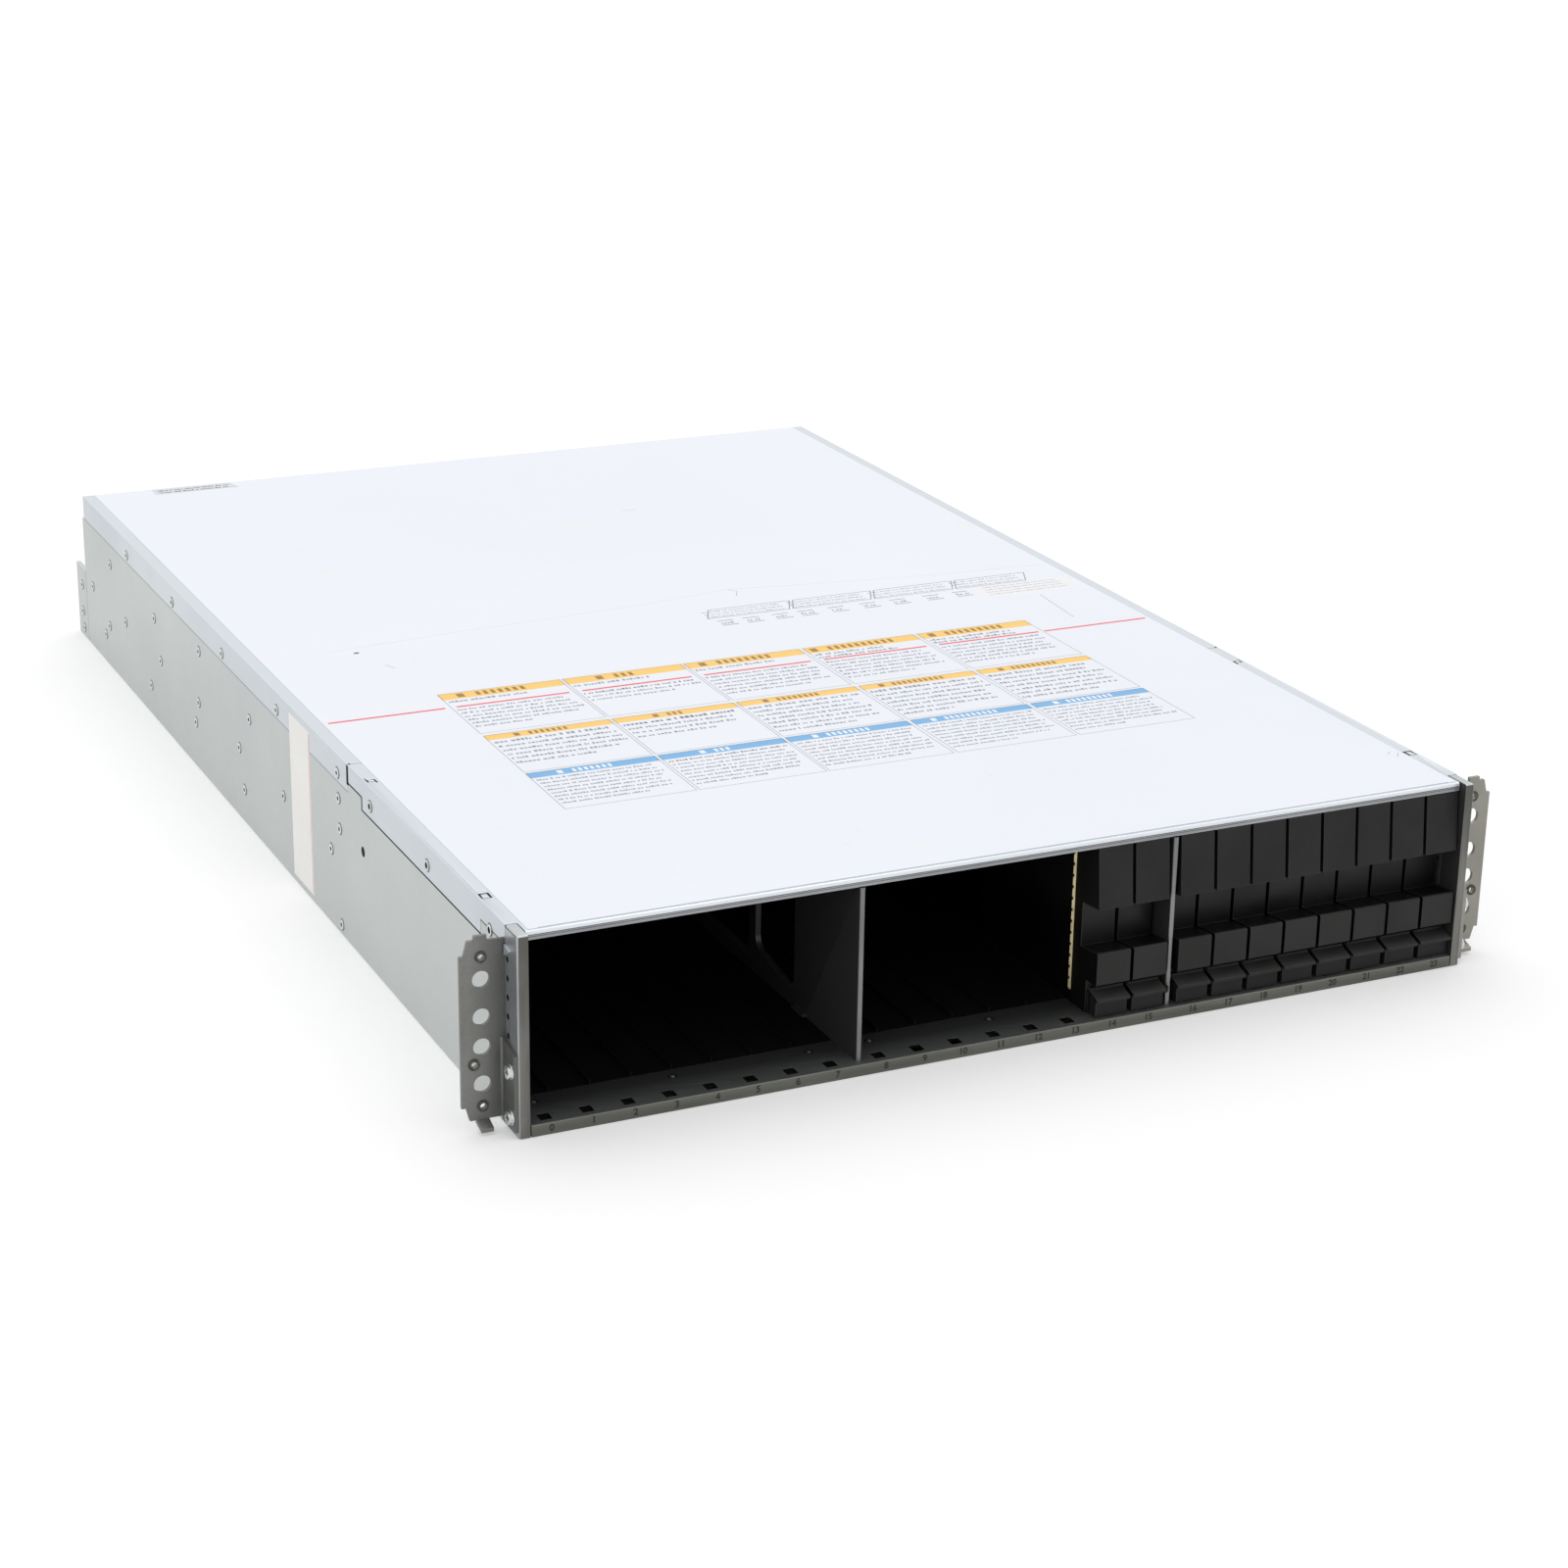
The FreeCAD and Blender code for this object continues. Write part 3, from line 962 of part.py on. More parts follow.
def controller(level, base):
    """A canister with a row of cable ports, the board inside it and an ejector lever."""
    name = f"io_{level}"
    outer, inner = shell(name, "io_left", "io_right", base)
    low = f"{base} + case_wall + board_rise"
    openings = []
    cages = []
    for k in range(SIZES["ports"]):
        left = f"io_left + port_start + {k} * port_pitch"
        across = (left, f"{left} + port_width")
        height = (f"{low} + steel", f"{low} + steel + port_height")
        openings.append(box(f"{name}_opening_{k}", across,
                            ("module_rear - case_wall - overcut", "module_rear + overcut"), height))
        cage = box(f"{name}_cage_{k}", (f"{across[0]} - case_wall", f"{across[1]} + case_wall"),
                   ("module_rear - case_wall - port_depth", "module_rear - case_wall"),
                   (low, f"{height[1]} + case_wall"))
        throat = box(f"{name}_throat_{k}", across,
                     ("module_rear - port_depth", "module_rear"), height)
        cages.append(cut(f"{name}_port_{k}", cage, [throat]))
    pivot = "io_left + io_lever_centre"
    case = cut(f"{name}_canister", outer, [inner, *openings])
    node(fuse(f"{name}_case", [case, *pivot_lugs(name, pivot, base)]), f"{name}_case")
    ejector_lever(f"{name}_lever", pivot, "io_lever_run", base)
    start = "module_rear - case_wall - board_run"
    across = ("io_left + case_wall + slide_gap", "io_right - case_wall - slide_gap")
    board = box(f"{name}_board_sheet", across, (start, "module_rear - case_wall"),
                (f"{low} - board_wall", low))
    feet = []
    for x in ("io_left + case_wall + board_margin", "io_right - case_wall - board_margin"):
        for y in (f"{start} + board_margin", "module_rear - board_margin - case_wall"):
            feet.append(box(f"{name}_foot_{len(feet)}", (f"{x} - board_foot / 2", f"{x} + board_foot / 2"),
                            (f"{y} - board_foot / 2", f"{y} + board_foot / 2"),
                            (f"{base} + case_wall", f"{low} - board_wall")))
    sink_x, sink_y = "(io_left + io_right) / 2 - sink_size / 2", f"{start} + board_run / 3"
    fins = [box(f"{name}_sink", (sink_x, f"{sink_x} + sink_size"), (sink_y, f"{sink_y} + sink_size"),
                (low, f"{low} + sink_base"))]
    for k in range(int(SIZES["sink_size"] // SIZES["sink_pitch"])):
        left = f"{sink_x} + {k} * sink_pitch"
        fins.append(box(f"{name}_fin_{k}", (left, f"{left} + sink_fin"), (sink_y, f"{sink_y} + sink_size"),
                        (low, f"{low} + sink_height")))
    node(fuse(f"{name}_board", [board, *feet, *cages, *fins]), f"{name}_board")


# --------------------------------------------------------------------------------------
# Assembly
# --------------------------------------------------------------------------------------
def build():
    floor_pan()
    floor_sill()
    for name, sign in SIDES:
        side_plate(name, sign)
        front_post(name, sign)
        rack_ear(name, sign)
        divider(name, sign)
    front_cover()
    rear_cover()
    top_film()
    side_tape()
    ear_screws()
    rivets()
    drive_guides()
    midplane()
    rear_frame()
    for bay in range(FIRST_BLANK, 3 * SIZES["bays_per_group"]):
        drive_blank(bay)
        contact_spring(bay)
    for level, base in LEVELS:
        power_supply(level, base)
        controller(level, base)


def write():
    """Checks every object, then writes one file per piece."""
    doc.recompute()
    failed = [obj.Name for obj in doc.Objects if {"Invalid", "Error"} & set(obj.State)]
    failed += [obj.Label for obj in nodes if obj.Shape.isNull() or not obj.Shape.isValid()]
    if failed:
        raise SystemExit(f"not built: {failed}")
    os.makedirs("parts", exist_ok=True)
    for obj in nodes:
        obj.Shape.exportStep(f"parts/{obj.Label}.step")
        print(f"{obj.Label}: {len(obj.Shape.Solids)} solids, {obj.Shape.Volume / 1000:.2f} cm3")
    box = FreeCAD.BoundBox()
    for obj in nodes:
        box.add(obj.Shape.BoundBox)
    print(f"{len(nodes)} pieces, {box}")


build()
write()
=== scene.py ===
# %% [markdown]
# # A disk shelf enclosure, dressed
# The metal and plastic parts come from CAD at their real size. This file never moves them. It gives
# every surface its finish, rounds the edges that catch the light, and adds what is too fine for CAD:
# printed ink, rivet heads, screw heads, digits, lamps and vents. Lengths are in metres, with +X to the
# right seen from the front, +Y from the front to the rear and +Z up.

import json
import math
import random

import bmesh
import bpy
from mathutils import Matrix, Vector


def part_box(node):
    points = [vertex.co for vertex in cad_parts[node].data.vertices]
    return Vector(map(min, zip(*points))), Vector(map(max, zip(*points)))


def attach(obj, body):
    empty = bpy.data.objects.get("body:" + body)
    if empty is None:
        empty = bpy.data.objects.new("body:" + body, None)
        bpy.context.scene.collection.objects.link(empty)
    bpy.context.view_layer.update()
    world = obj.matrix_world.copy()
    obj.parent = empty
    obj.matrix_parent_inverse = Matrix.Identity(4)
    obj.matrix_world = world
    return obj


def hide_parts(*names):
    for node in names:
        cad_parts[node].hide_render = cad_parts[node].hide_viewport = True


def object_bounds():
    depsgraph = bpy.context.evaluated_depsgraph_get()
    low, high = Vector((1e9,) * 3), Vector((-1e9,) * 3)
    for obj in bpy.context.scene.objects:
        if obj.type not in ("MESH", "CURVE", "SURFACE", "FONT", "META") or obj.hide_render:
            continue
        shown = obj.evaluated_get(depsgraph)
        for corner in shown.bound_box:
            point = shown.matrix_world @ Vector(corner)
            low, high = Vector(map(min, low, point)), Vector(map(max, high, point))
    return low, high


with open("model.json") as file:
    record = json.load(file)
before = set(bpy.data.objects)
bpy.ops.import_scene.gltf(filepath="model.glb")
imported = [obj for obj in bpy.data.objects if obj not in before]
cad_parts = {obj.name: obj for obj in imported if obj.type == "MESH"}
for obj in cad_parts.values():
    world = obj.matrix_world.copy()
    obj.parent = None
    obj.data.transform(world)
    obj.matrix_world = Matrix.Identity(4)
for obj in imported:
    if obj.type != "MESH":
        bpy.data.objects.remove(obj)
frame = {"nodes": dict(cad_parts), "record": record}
nodes = frame["nodes"]
cad_low, cad_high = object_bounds()
print("pieces from CAD:", len(nodes), "size:", [round(v, 4) for v in cad_high - cad_low])

# %% [markdown]
# ## Measures read from the frame
# Everything added later sits on a CAD part, so its place is read from the parts and not typed in.
# The blanks give the pitch of the bays, and the step between the second and third group gives the
# room that a divider takes.

# %% Bays and main faces
MM = 0.001
BAYS, BAYS_PER_GROUP, FIRST_BLANK = 24, 8, 14


def mm(*values):
    """Lengths given in millimetres, in metres."""
    return [value * MM for value in values]


front = cad_low.y
film_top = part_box("top_sheet")[1].z
sill_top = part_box("floor_sill")[1].z
plate_left, plate_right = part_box("left_side_plate")[0].x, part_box("right_side_plate")[1].x
module_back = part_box("io_lower_case")[1].y


def blank_x(bay):
    """The low end along X of a blank's box, which steps from bay to bay as the blank does."""
    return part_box(f"drive_blank_{bay}")[0].x


bay_pitch = blank_x(15) - blank_x(14)
divider_room = blank_x(16) - blank_x(15) - bay_pitch


def bay_x(bay):
    """The middle of a bay, counted from 0 at the left."""
    step = bay_pitch * (bay - (BAYS - 1) / 2)
    return step + divider_room * (bay // BAYS_PER_GROUP - 1)


print("pitch", round(bay_pitch * 1000, 3), "mm, divider room", round(divider_room * 1000, 3), "mm")

# %% [markdown]
# ## Camera
# A long lens far away keeps the upright edges nearly parallel, as in a catalogue picture. The camera
# stands to the left of the front, a little above the top, and is rolled by one degree. Its axes are
# built from three angles, so nothing has to track a target.

# %% Place the camera
def placed_object(name, data):
    """A new object at the origin of the scene."""
    made = bpy.data.objects.new(name, data)
    bpy.context.scene.collection.objects.link(made)
    return made


CAMERA_PLACE = Vector((-0.62454, -1.44529, 0.57343))
CAMERA_TURN = math.radians(25.279)
CAMERA_DIP = math.radians(20.134)
CAMERA_ROLL = math.radians(0.9605)
LENS = 75.34
SENSOR = 36.0

forward = Vector((math.sin(CAMERA_TURN) * math.cos(CAMERA_DIP),
                  math.cos(CAMERA_TURN) * math.cos(CAMERA_DIP),
                  -math.sin(CAMERA_DIP)))
level_right = Vector((math.cos(CAMERA_TURN), -math.sin(CAMERA_TURN), 0))
upward = level_right.cross(forward)
right_axis = math.cos(CAMERA_ROLL) * level_right + math.sin(CAMERA_ROLL) * upward
up_axis = math.cos(CAMERA_ROLL) * upward - math.sin(CAMERA_ROLL) * level_right

camera_data = bpy.data.cameras.new("camera")
camera_data.lens = LENS
camera_data.sensor_width = SENSOR
camera_data.clip_start, camera_data.clip_end = 0.05, 50
camera = placed_object("camera", camera_data)
camera_axes = Matrix((right_axis, up_axis, -forward)).transposed().to_4x4()
camera.matrix_world = Matrix.Translation(CAMERA_PLACE) @ camera_axes
bpy.context.scene.camera = camera
bpy.context.scene.view_settings.view_transform = "Standard"
print("camera at", [round(v, 3) for v in camera.location])

# %% [markdown]
# ## Floor and light
# A plain white floor and an even white sky light the object softly from everywhere, and two very wide
# suns give the top and the left side their shape. A sun doesn't fade with distance, so the floor
# stays white out to the edge of the picture. The sky is plain white to the camera and in reflections,
# but a little dimmer as a lamp, so that pale surfaces keep their tone. The sky, like every finish, is a
# graph of nodes, so the helpers that add and link nodes come first.

# %% Node helpers
def chain(tree, kind, links=None, settings=None, **values):
    """A new node with some settings, some fixed sockets and some linked ones."""
    made = tree.nodes.new(kind)
    for name, value in (settings or {}).items():
        setattr(made, name, value)
    for name, value in values.items():
        made.inputs[name.replace("_", " ")].default_value = value
    for name, source in (links or {}).items():
        tree.links.new(source, made.inputs[name])
    return made


def combine(tree, operation, first, second):
    """The result of a maths node that takes two sockets."""
    return chain(tree, "ShaderNodeMath", {0: first, 1: second}, {"operation": operation}).outputs[0]


def times(tree, source, factor):
    """The result of a maths node that scales a socket by a number."""
    made = chain(tree, "ShaderNodeMath", {0: source}, {"operation": "MULTIPLY"})
    made.inputs[1].default_value = factor
    return made.outputs[0]


print("node helpers ready")

# %% Sky
SKY_AS_LAMP = 0.56


def mirror_mask(tree):
    """1 for what the camera sees directly, in a reflection or through glass, else 0."""
    path = chain(tree, "ShaderNodeLightPath").outputs
    seen = combine(tree, "MAXIMUM", path["Is Camera Ray"], path["Is Glossy Ray"])
    return combine(tree, "MAXIMUM", seen, path["Is Transmission Ray"])


world = bpy.data.worlds.new("white_room")
world.use_nodes = True
sky_tree = world.node_tree
background = sky_tree.nodes["Background"]
background.inputs["Color"].default_value = (1, 1, 1, 1)
strength = chain(sky_tree, "ShaderNodeMapRange", {"Value": mirror_mask(sky_tree)},
                 To_Min=SKY_AS_LAMP, To_Max=1)
sky_tree.links.new(strength.outputs["Result"], background.inputs["Strength"])
bpy.context.scene.world = world
print("sky lamp level", SKY_AS_LAMP)

# %% Suns
# name, strength, width in degrees and the way from the object towards it
SUNS = (("top_sun", 1.15, 70, (0.15, 0.25, 1.0)), ("left_sun", 0.45, 60, (-1.0, -0.45, 0.6)))
for name, power, width, towards in SUNS:
    lamp = bpy.data.lights.new(name, "SUN")
    lamp.energy = power
    lamp.angle = math.radians(width)
    sun = placed_object(name, lamp)
    sun.rotation_mode = "QUATERNION"
    sun.rotation_quaternion = Vector(towards).to_track_quat("Z", "Y")
print("suns:", [name for name, *_ in SUNS])

# %% Floor
FLOOR_REACH = 30.0
FLOOR_GAP = 0.2 * MM
FLOOR_GLOW = 0.3
FLOOR_SHADE = 0.76

floor_mesh = bpy.data.meshes.new("floor")
corners = [(x * FLOOR_REACH, y * FLOOR_REACH, -FLOOR_GAP) for x, y in ((-1, -1), (1, -1), (1, 1), (-1, 1))]
floor_mesh.from_pydata(corners, [], [(0, 1, 2, 3)])
floor = placed_object("floor", floor_mesh)
paper = bpy.data.materials.new("white_paper")
paper.use_nodes = True
paper_tree = paper.node_tree
sheet = paper_tree.nodes["Principled BSDF"]
for socket, value in (("Base Color", (FLOOR_SHADE, FLOOR_SHADE, FLOOR_SHADE, 1)), ("Roughness", 1),
                      ("Specular IOR Level", 0), ("Emission Color", (1, 1, 1, 1))):
    sheet.inputs[socket].default_value = value
glow = times(paper_tree, mirror_mask(paper_tree), FLOOR_GLOW)
paper_tree.links.new(glow, sheet.inputs["Emission Strength"])
floor_mesh.materials.append(paper)
print("floor glow", FLOOR_GLOW)

# %% [markdown]
# ## Shared effects
# Real sheet metal is never one flat tone. It has rolling marks, zinc crystals, scratches and handling
# marks. Each of those is a node group with its own inputs, placed in every material that needs it. Two
# more groups paint light and shade into colours: a ramp along one direction and a strip with dark slots.
# The groups use object coordinates: the parts keep their real place in their mesh, so one metre of
# texture is one metre of metal on every part.

# %% Group helpers
def stretched(tree, where, by):
    """A place with each of its axes scaled."""
    return chain(tree, "ShaderNodeVectorMath", {0: where, 1: by}, {"operation": "MULTIPLY"}).outputs[0]


def new_group(title, inputs):
    """An empty node group with number or vector inputs and one mask. Gives back the group, its input
    sockets, the socket for its mask and the place on the object."""
    group = bpy.data.node_groups.new(title, "ShaderNodeTree")
    for name, value in inputs.items():
        kind = "NodeSocketVector" if isinstance(value, tuple) else "NodeSocketFloat"
        group.interface.new_socket(name, in_out="INPUT", socket_type=kind).default_value = value
    group.interface.new_socket("Mask", in_out="OUTPUT", socket_type="NodeSocketFloat")
    given = group.nodes.new("NodeGroupInput").outputs
    mask = group.nodes.new("NodeGroupOutput").inputs["Mask"]
    return group, given, mask, chain(group, "ShaderNodeTexCoord").outputs["Object"]


def close_group(group, source, mask):
    """Sends a socket to the group's mask."""
    group.links.new(source, mask)
    print("group", group.name)


# %% Mottle: soft noise that can be stretched into brush marks
mottle, given, mask, where = new_group(
    "mottle", {"Scale": 200.0, "Stretch": (1.0, 1.0, 1.0), "Detail": 3.0, "Low": 0.35, "High": 0.65})
noise = chain(mottle, "ShaderNodeTexNoise", {
    "Vector": stretched(mottle, where, given["Stretch"]), "Scale": given["Scale"], "Detail": given["Detail"]})
limits = chain(mottle, "ShaderNodeMapRange", {
    "Value": noise.outputs[0], "From Min": given["Low"], "From Max": given["High"]})
close_group(mottle, limits.outputs["Result"], mask)

# %% Spangle: the flat crystals of a zinc coat
spangle, given, mask, where = new_group("spangle", {"Scale": 300.0})
crystal = chain(spangle, "ShaderNodeTexVoronoi", {"Vector": where, "Scale": given["Scale"]})
shade = chain(spangle, "ShaderNodeSeparateColor", {"Color": crystal.outputs["Color"]})
close_group(spangle, shade.outputs[0], mask)

# %% Ramp of painted light and shade: an even change along one direction, such as a wall that gets paler towards its top
light_ramp, given, mask, where = new_group("light_ramp", {"Way": (0.0, 0.0, 1.0), "Low": 0.0, "High": 0.1})
along = chain(light_ramp, "ShaderNodeVectorMath", {0: where, 1: given["Way"]}, {"operation": "DOT_PRODUCT"})
limits = chain(light_ramp, "ShaderNodeMapRange", {
    "Value": along.outputs["Value"], "From Min": given["Low"], "From Max": given["High"]})
close_group(light_ramp, limits.outputs["Result"], mask)

# %% Fingers: painted shade on a strip, whose far edge is dark, with dark slots cut into it at an even pitch
fingers, given, mask, where = new_group(
    "fingers", {"Pitch": 0.0052, "Slot": 0.0014, "Dark Behind": 0.0, "Slot Behind": 0.0})
axes = chain(fingers, "ShaderNodeSeparateXYZ", {0: where}).outputs
turn = combine(fingers, "MODULO", axes["Z"], given["Pitch"])
slotted = combine(fingers, "LESS_THAN", turn, given["Slot"])
deep, deeper = (combine(fingers, "GREATER_THAN", axes["Y"], given[name])
                for name in ("Slot Behind", "Dark Behind"))
tooth = combine(fingers, "MULTIPLY", slotted, deep)
close_group(fingers, combine(fingers, "MAXIMUM", tooth, deeper), mask)

# %% Scratches: thin lines in one direction, few and uneven
scratches, given, mask, where = new_group("scratches", {"Along": (1.0, 0.02, 1.0), "Rare": 0.72})
fine = chain(scratches, "ShaderNodeTexNoise", {"Vector": stretched(scratches, where, given["Along"])},
             Scale=1400.0, Detail=1.0)
cutoff = combine(scratches, "GREATER_THAN", fine.outputs[0], given["Rare"])
patch = chain(scratches, "ShaderNodeTexNoise", {"Vector": where}, Scale=14.0)
broken = chain(scratches, "ShaderNodeMapRange", {"Value": patch.outputs[0]}, From_Min=0.5, From_Max=0.62)
close_group(scratches, combine(scratches, "MULTIPLY", cutoff, broken.outputs["Result"]), mask)

# %% [markdown]
# ## Finishes
# Each finish is one material with its own Principled shader. A small recipe adds layers to it: every
# layer is a mask from a group above, which mixes in another colour or shifts the roughness. Colours
# are written as a painter would read them off the object, in 0 to 255, and turned into linear light.

# %% Recipe for a finish
# how far the first colour layer moves the roughness down and up
SMOOTHER, ROUGHER = 0.06, 0.08


def linear(red, green, blue):
    """A colour read as 0 to 255, as linear light with full opacity."""
    steps = [v / 255 for v in (red, green, blue)]
    return tuple(v / 12.92 if v <= 0.04045 else ((v + 0.055) / 1.055) ** 2.4 for v in steps) + (1,)


def group_mask(tree, group, inputs):
    """Places a group in a material, sets its inputs and returns its mask."""
    placed = tree.nodes.new("ShaderNodeGroup")
    placed.node_tree = group
    for name, value in inputs.items():
        placed.inputs[name].default_value = value
    return placed.outputs["Mask"]


def finish(name, colour, metallic, roughness, layers=(), relief=(), **shader_values):
    """A material: base colour, colour layers (mask, colour, amount) and bump layers (mask, height in
    metres). A mask is a group with its inputs. The first colour layer also moves the roughness."""
    made = bpy.data.materials.new(name)
    made.use_nodes = True
    tree = made.node_tree
    shader = tree.nodes["Principled BSDF"]
    shader.inputs["Metallic"].default_value = metallic
    for socket, value in shader_values.items():
        shader.inputs[socket.replace("_", " ")].default_value = value
    for number, (recipe, other, amount) in enumerate(layers):
        mask = group_mask(tree, *recipe)
        share = times(tree, mask, amount)
        mix = chain(tree, "ShaderNodeMix", {"Factor": share}, {"data_type": "RGBA"})
        mix.inputs[6].default_value = linear(*colour)
        mix.inputs[7].default_value = linear(*other)
        if number:
            tree.links.new(now, mix.inputs[6])
        now = mix.outputs[2]
        if number == 0:
            rough = chain(tree, "ShaderNodeMapRange", {"Value": mask},
                          To_Min=roughness - SMOOTHER, To_Max=roughness + ROUGHER)
            tree.links.new(rough.outputs["Result"], shader.inputs["Roughness"])
    tree.links.new(now, shader.inputs["Base Color"])
    below = {}
    for recipe, height in relief:
        bump = chain(tree, "ShaderNodeBump", {"Height": group_mask(tree, *recipe), **below},
                     Strength=1.0, Distance=height)
        below = {"Normal": bump.outputs[0]}
    for socket, source in below.items():
        tree.links.new(source, shader.inputs[socket])
    return made


print("recipe ready")

# %% Short names for the masks
def blots(scale, detail=3.0, **more):
    """Soft noise. More can name its Stretch and its Low and High limits."""
    return mottle, {"Scale": scale, "Detail": detail, **more}


def scratched(along, rare=0.72):
    return scratches, {"Along": along, "Rare": rare}


# painted light and shade: a face made paler or darker along one way
def rising(low, high, way=(0.0, 0.0, 1.0)):
    return light_ramp, {"Way": way, "Low": low, "High": high}


def grain(scale, detail, height, **more):
    """One bump layer of soft noise, with its height in millimetres."""
    return ((blots(scale, detail, **more), height * MM),)


def plain(name, colour, other, roughness, recipe, amount=0.8, metallic=0.0, **more):
    """A finish with one layer of another colour."""
    return finish(name, colour, metallic, roughness, ((recipe, other, amount),), **more)


print("masks ready")

# %% [markdown]
# The steel of the case is galvanised: a pale, faintly blue grey with fine crystals, dull patches where
# it was handled, and a few scratches along the side. The covers are a little brighter and bluer.

# %% Case steel
CLOUDS = blots(9, 5)
SHEET_GRAIN = grain(1600, 2, 0.003)

case_steel = finish(
    "case_steel", (196, 200, 199), 0.7, 0.44,
    ((CLOUDS, (191, 195, 195), 0.6), ((spangle, {"Scale": 420.0}), (201, 205, 204), 0.25),
     (scratched((1, 0.03, 1)), (170, 175, 176), 0.3)), SHEET_GRAIN)
cover_steel = finish(
    "cover_steel", (206, 212, 217), 0.7, 0.38,
    ((CLOUDS, (198, 205, 211), 0.6), (scratched((1, 0.02, 1)), (176, 182, 187), 0.35)), SHEET_GRAIN)
# The hem: the cover's steel painted darker as shade on a face that looks to the front, with a painted
# highlight along the top of its roll.
hem_steel = finish(
    "hem_steel", (164, 166, 170), 0.7, 0.4,
    ((blots(60, 4, Stretch=(0.3, 1, 1)), (146, 148, 152), 0.8),
     (rising(0.0839, 0.0842), (232, 237, 243), 0.95)), SHEET_GRAIN)
joint_steel = plain("joint_steel", (166, 170, 170), (160, 164, 164), 0.5, CLOUDS, 0.5, 0.7)
print("case steel made")

# %% [markdown]
# The front frame and the ears are a warmer steel with brush marks across the bend. Their faces that look
# to the front are painted darker, partly their own tone and partly painted shade, as the front gets less
# light, and the front of a post is painted darker still towards its top, as shade. The outer flank of a
# post is bluer, and a painted highlight makes it paler towards its cap. The sill's lip catches more light
# than its landing, which lies in the shade of the opening: the landing is painted darker towards the
# rear as shade, and the lip paler towards its top as light.

# %% Frame steel
UP_BRUSH = blots(240, 5, Stretch=(1, 1, 0.08), Low=0.4, High=0.6)
UP_STRETCH = (1, 1, 0.1)
PATCHES = blots(42, 4, Low=0.52, High=0.64)

# The front of a post: darker than its flank, partly its own tone and partly painted shade, and darker still
# towards the top as painted shade.
frame_steel = finish(
    "frame_steel", (121, 120, 115), 0.6, 0.42,
    ((UP_BRUSH, (102, 101, 96), 0.8), (PATCHES, (142, 141, 136), 0.5),
     (rising(0.045, 0.080), (92, 91, 86), 0.9), (scratched((1, 1, 0.04), 0.7), (172, 171, 166), 0.3)),
    grain(900, 2, 0.006, Stretch=UP_STRETCH))
# The outer flank of a post: paler towards the cap, a painted highlight.
post_flank = finish(
    "post_flank", (166, 170, 174), 0.65, 0.4,
    ((UP_BRUSH, (138, 142, 147), 0.7), (PATCHES, (170, 174, 178), 0.4),
     (rising(0.070, 0.086), (186, 190, 193), 0.9)), grain(900, 2, 0.005, Stretch=UP_STRETCH))
# A painted highlight on the rounded edges of the posts.
frame_edge_highlight = plain(
    "frame_edge_highlight", (140, 140, 135), (106, 106, 101), 0.36, blots(160), metallic=0.75)
divider_steel = plain("divider_steel", (66, 67, 66), (58, 59, 59), 0.46, blots(30, 4), metallic=0.5,
                      relief=grain(1600, 2, 0.004))
divider_nose = plain("divider_nose", (138, 139, 139), (110, 111, 111), 0.38,
                     blots(120, 4, Stretch=(1, 1, 0.2)), metallic=0.7)
print("frame steel made")

# %% Ear steel
EAR_GRAIN = grain(1200, 2, 0.008)
# The left ear: darker towards its inner edge, painted shade in the bend.
ear_steel = finish(
    "ear_steel", (134, 135, 133), 0.55, 0.48,
    ((blots(26, 5), (124, 124, 120), 0.8), (blots(700, 2), (142, 142, 138), 0.4),
     (rising(-0.2380, -0.2240, (1, 0, 0)), (100, 102, 97), 0.85)), EAR_GRAIN)
# The right ear: a lighter copy of the ear steel, painted light.
right_ear_lit_steel = plain("right_ear_lit_steel", (156, 154, 145), (141, 139, 130), 0.44, blots(26, 5),
                        metallic=0.6, relief=EAR_GRAIN)
# The ears' rounded edges: painted darker, as the shade of the gaps along them.
ear_edge = plain("ear_edge", (94, 93, 87), (70, 69, 64), 0.42, blots(220), metallic=0.6)
tap_steel = plain("tap_steel", (92, 90, 84), (66, 64, 58), 0.5, blots(600), metallic=0.5)
print("ear steel made")

# %% Sill steel
LIP_BRUSH = blots(160, 5, Stretch=(0.1, 1, 1), Low=0.4, High=0.6)
LIP_GRAIN = grain(900, 2, 0.006, Stretch=(0.1, 1, 1))
LIP_SCRATCH = scratched((0.05, 1, 1), 0.7)
# The lip: paler towards its top, painted light.
lip_steel = finish(
    "lip_steel", (104, 105, 98), 0.6, 0.42,
    ((LIP_BRUSH, (92, 93, 87), 0.8), (rising(0.002, 0.005), (122, 123, 115), 0.7),
     (LIP_SCRATCH, (142, 141, 135), 0.3)), LIP_GRAIN)
# The lip's rounded top edge: a painted highlight, brighter towards the right.
lip_edge = finish(
    "lip_edge", (158, 157, 147), 0.65, 0.36,
    ((LIP_BRUSH, (126, 125, 117), 0.8), (rising(-0.12, 0.05, (1, 0, 0)), (196, 193, 178), 0.6)))
# The landing: darker towards the rear, painted shade in the opening.
sill_steel = finish(
    "sill_steel", (114, 118, 116), 0.55, 0.45,
    ((blots(24, 4, Stretch=(0.3, 1, 1)), (101, 105, 103), 0.8), (LIP_SCRATCH, (112, 112, 108), 0.3),
     (rising(-0.355, -0.339, (0, 1, 0)), (58, 60, 58), 0.85)), LIP_GRAIN)
print("sill steel made")

# %% Fastener metal
zinc = plain("bright_zinc", (214, 217, 216), (184, 188, 187), 0.26, blots(500), 0.7, 0.95)
rivet_steel = plain("rivet_steel", (222, 225, 225), (206, 209, 209), 0.4, blots(500), 0.7, 0.7)
# The dark of a rivet's dimple, a screw's cross and a clinch joint's groove: painted shade.
rivet_hollow = plain("rivet_hollow", (40, 41, 41), (28, 29, 29), 0.5, blots(800), metallic=0.6)
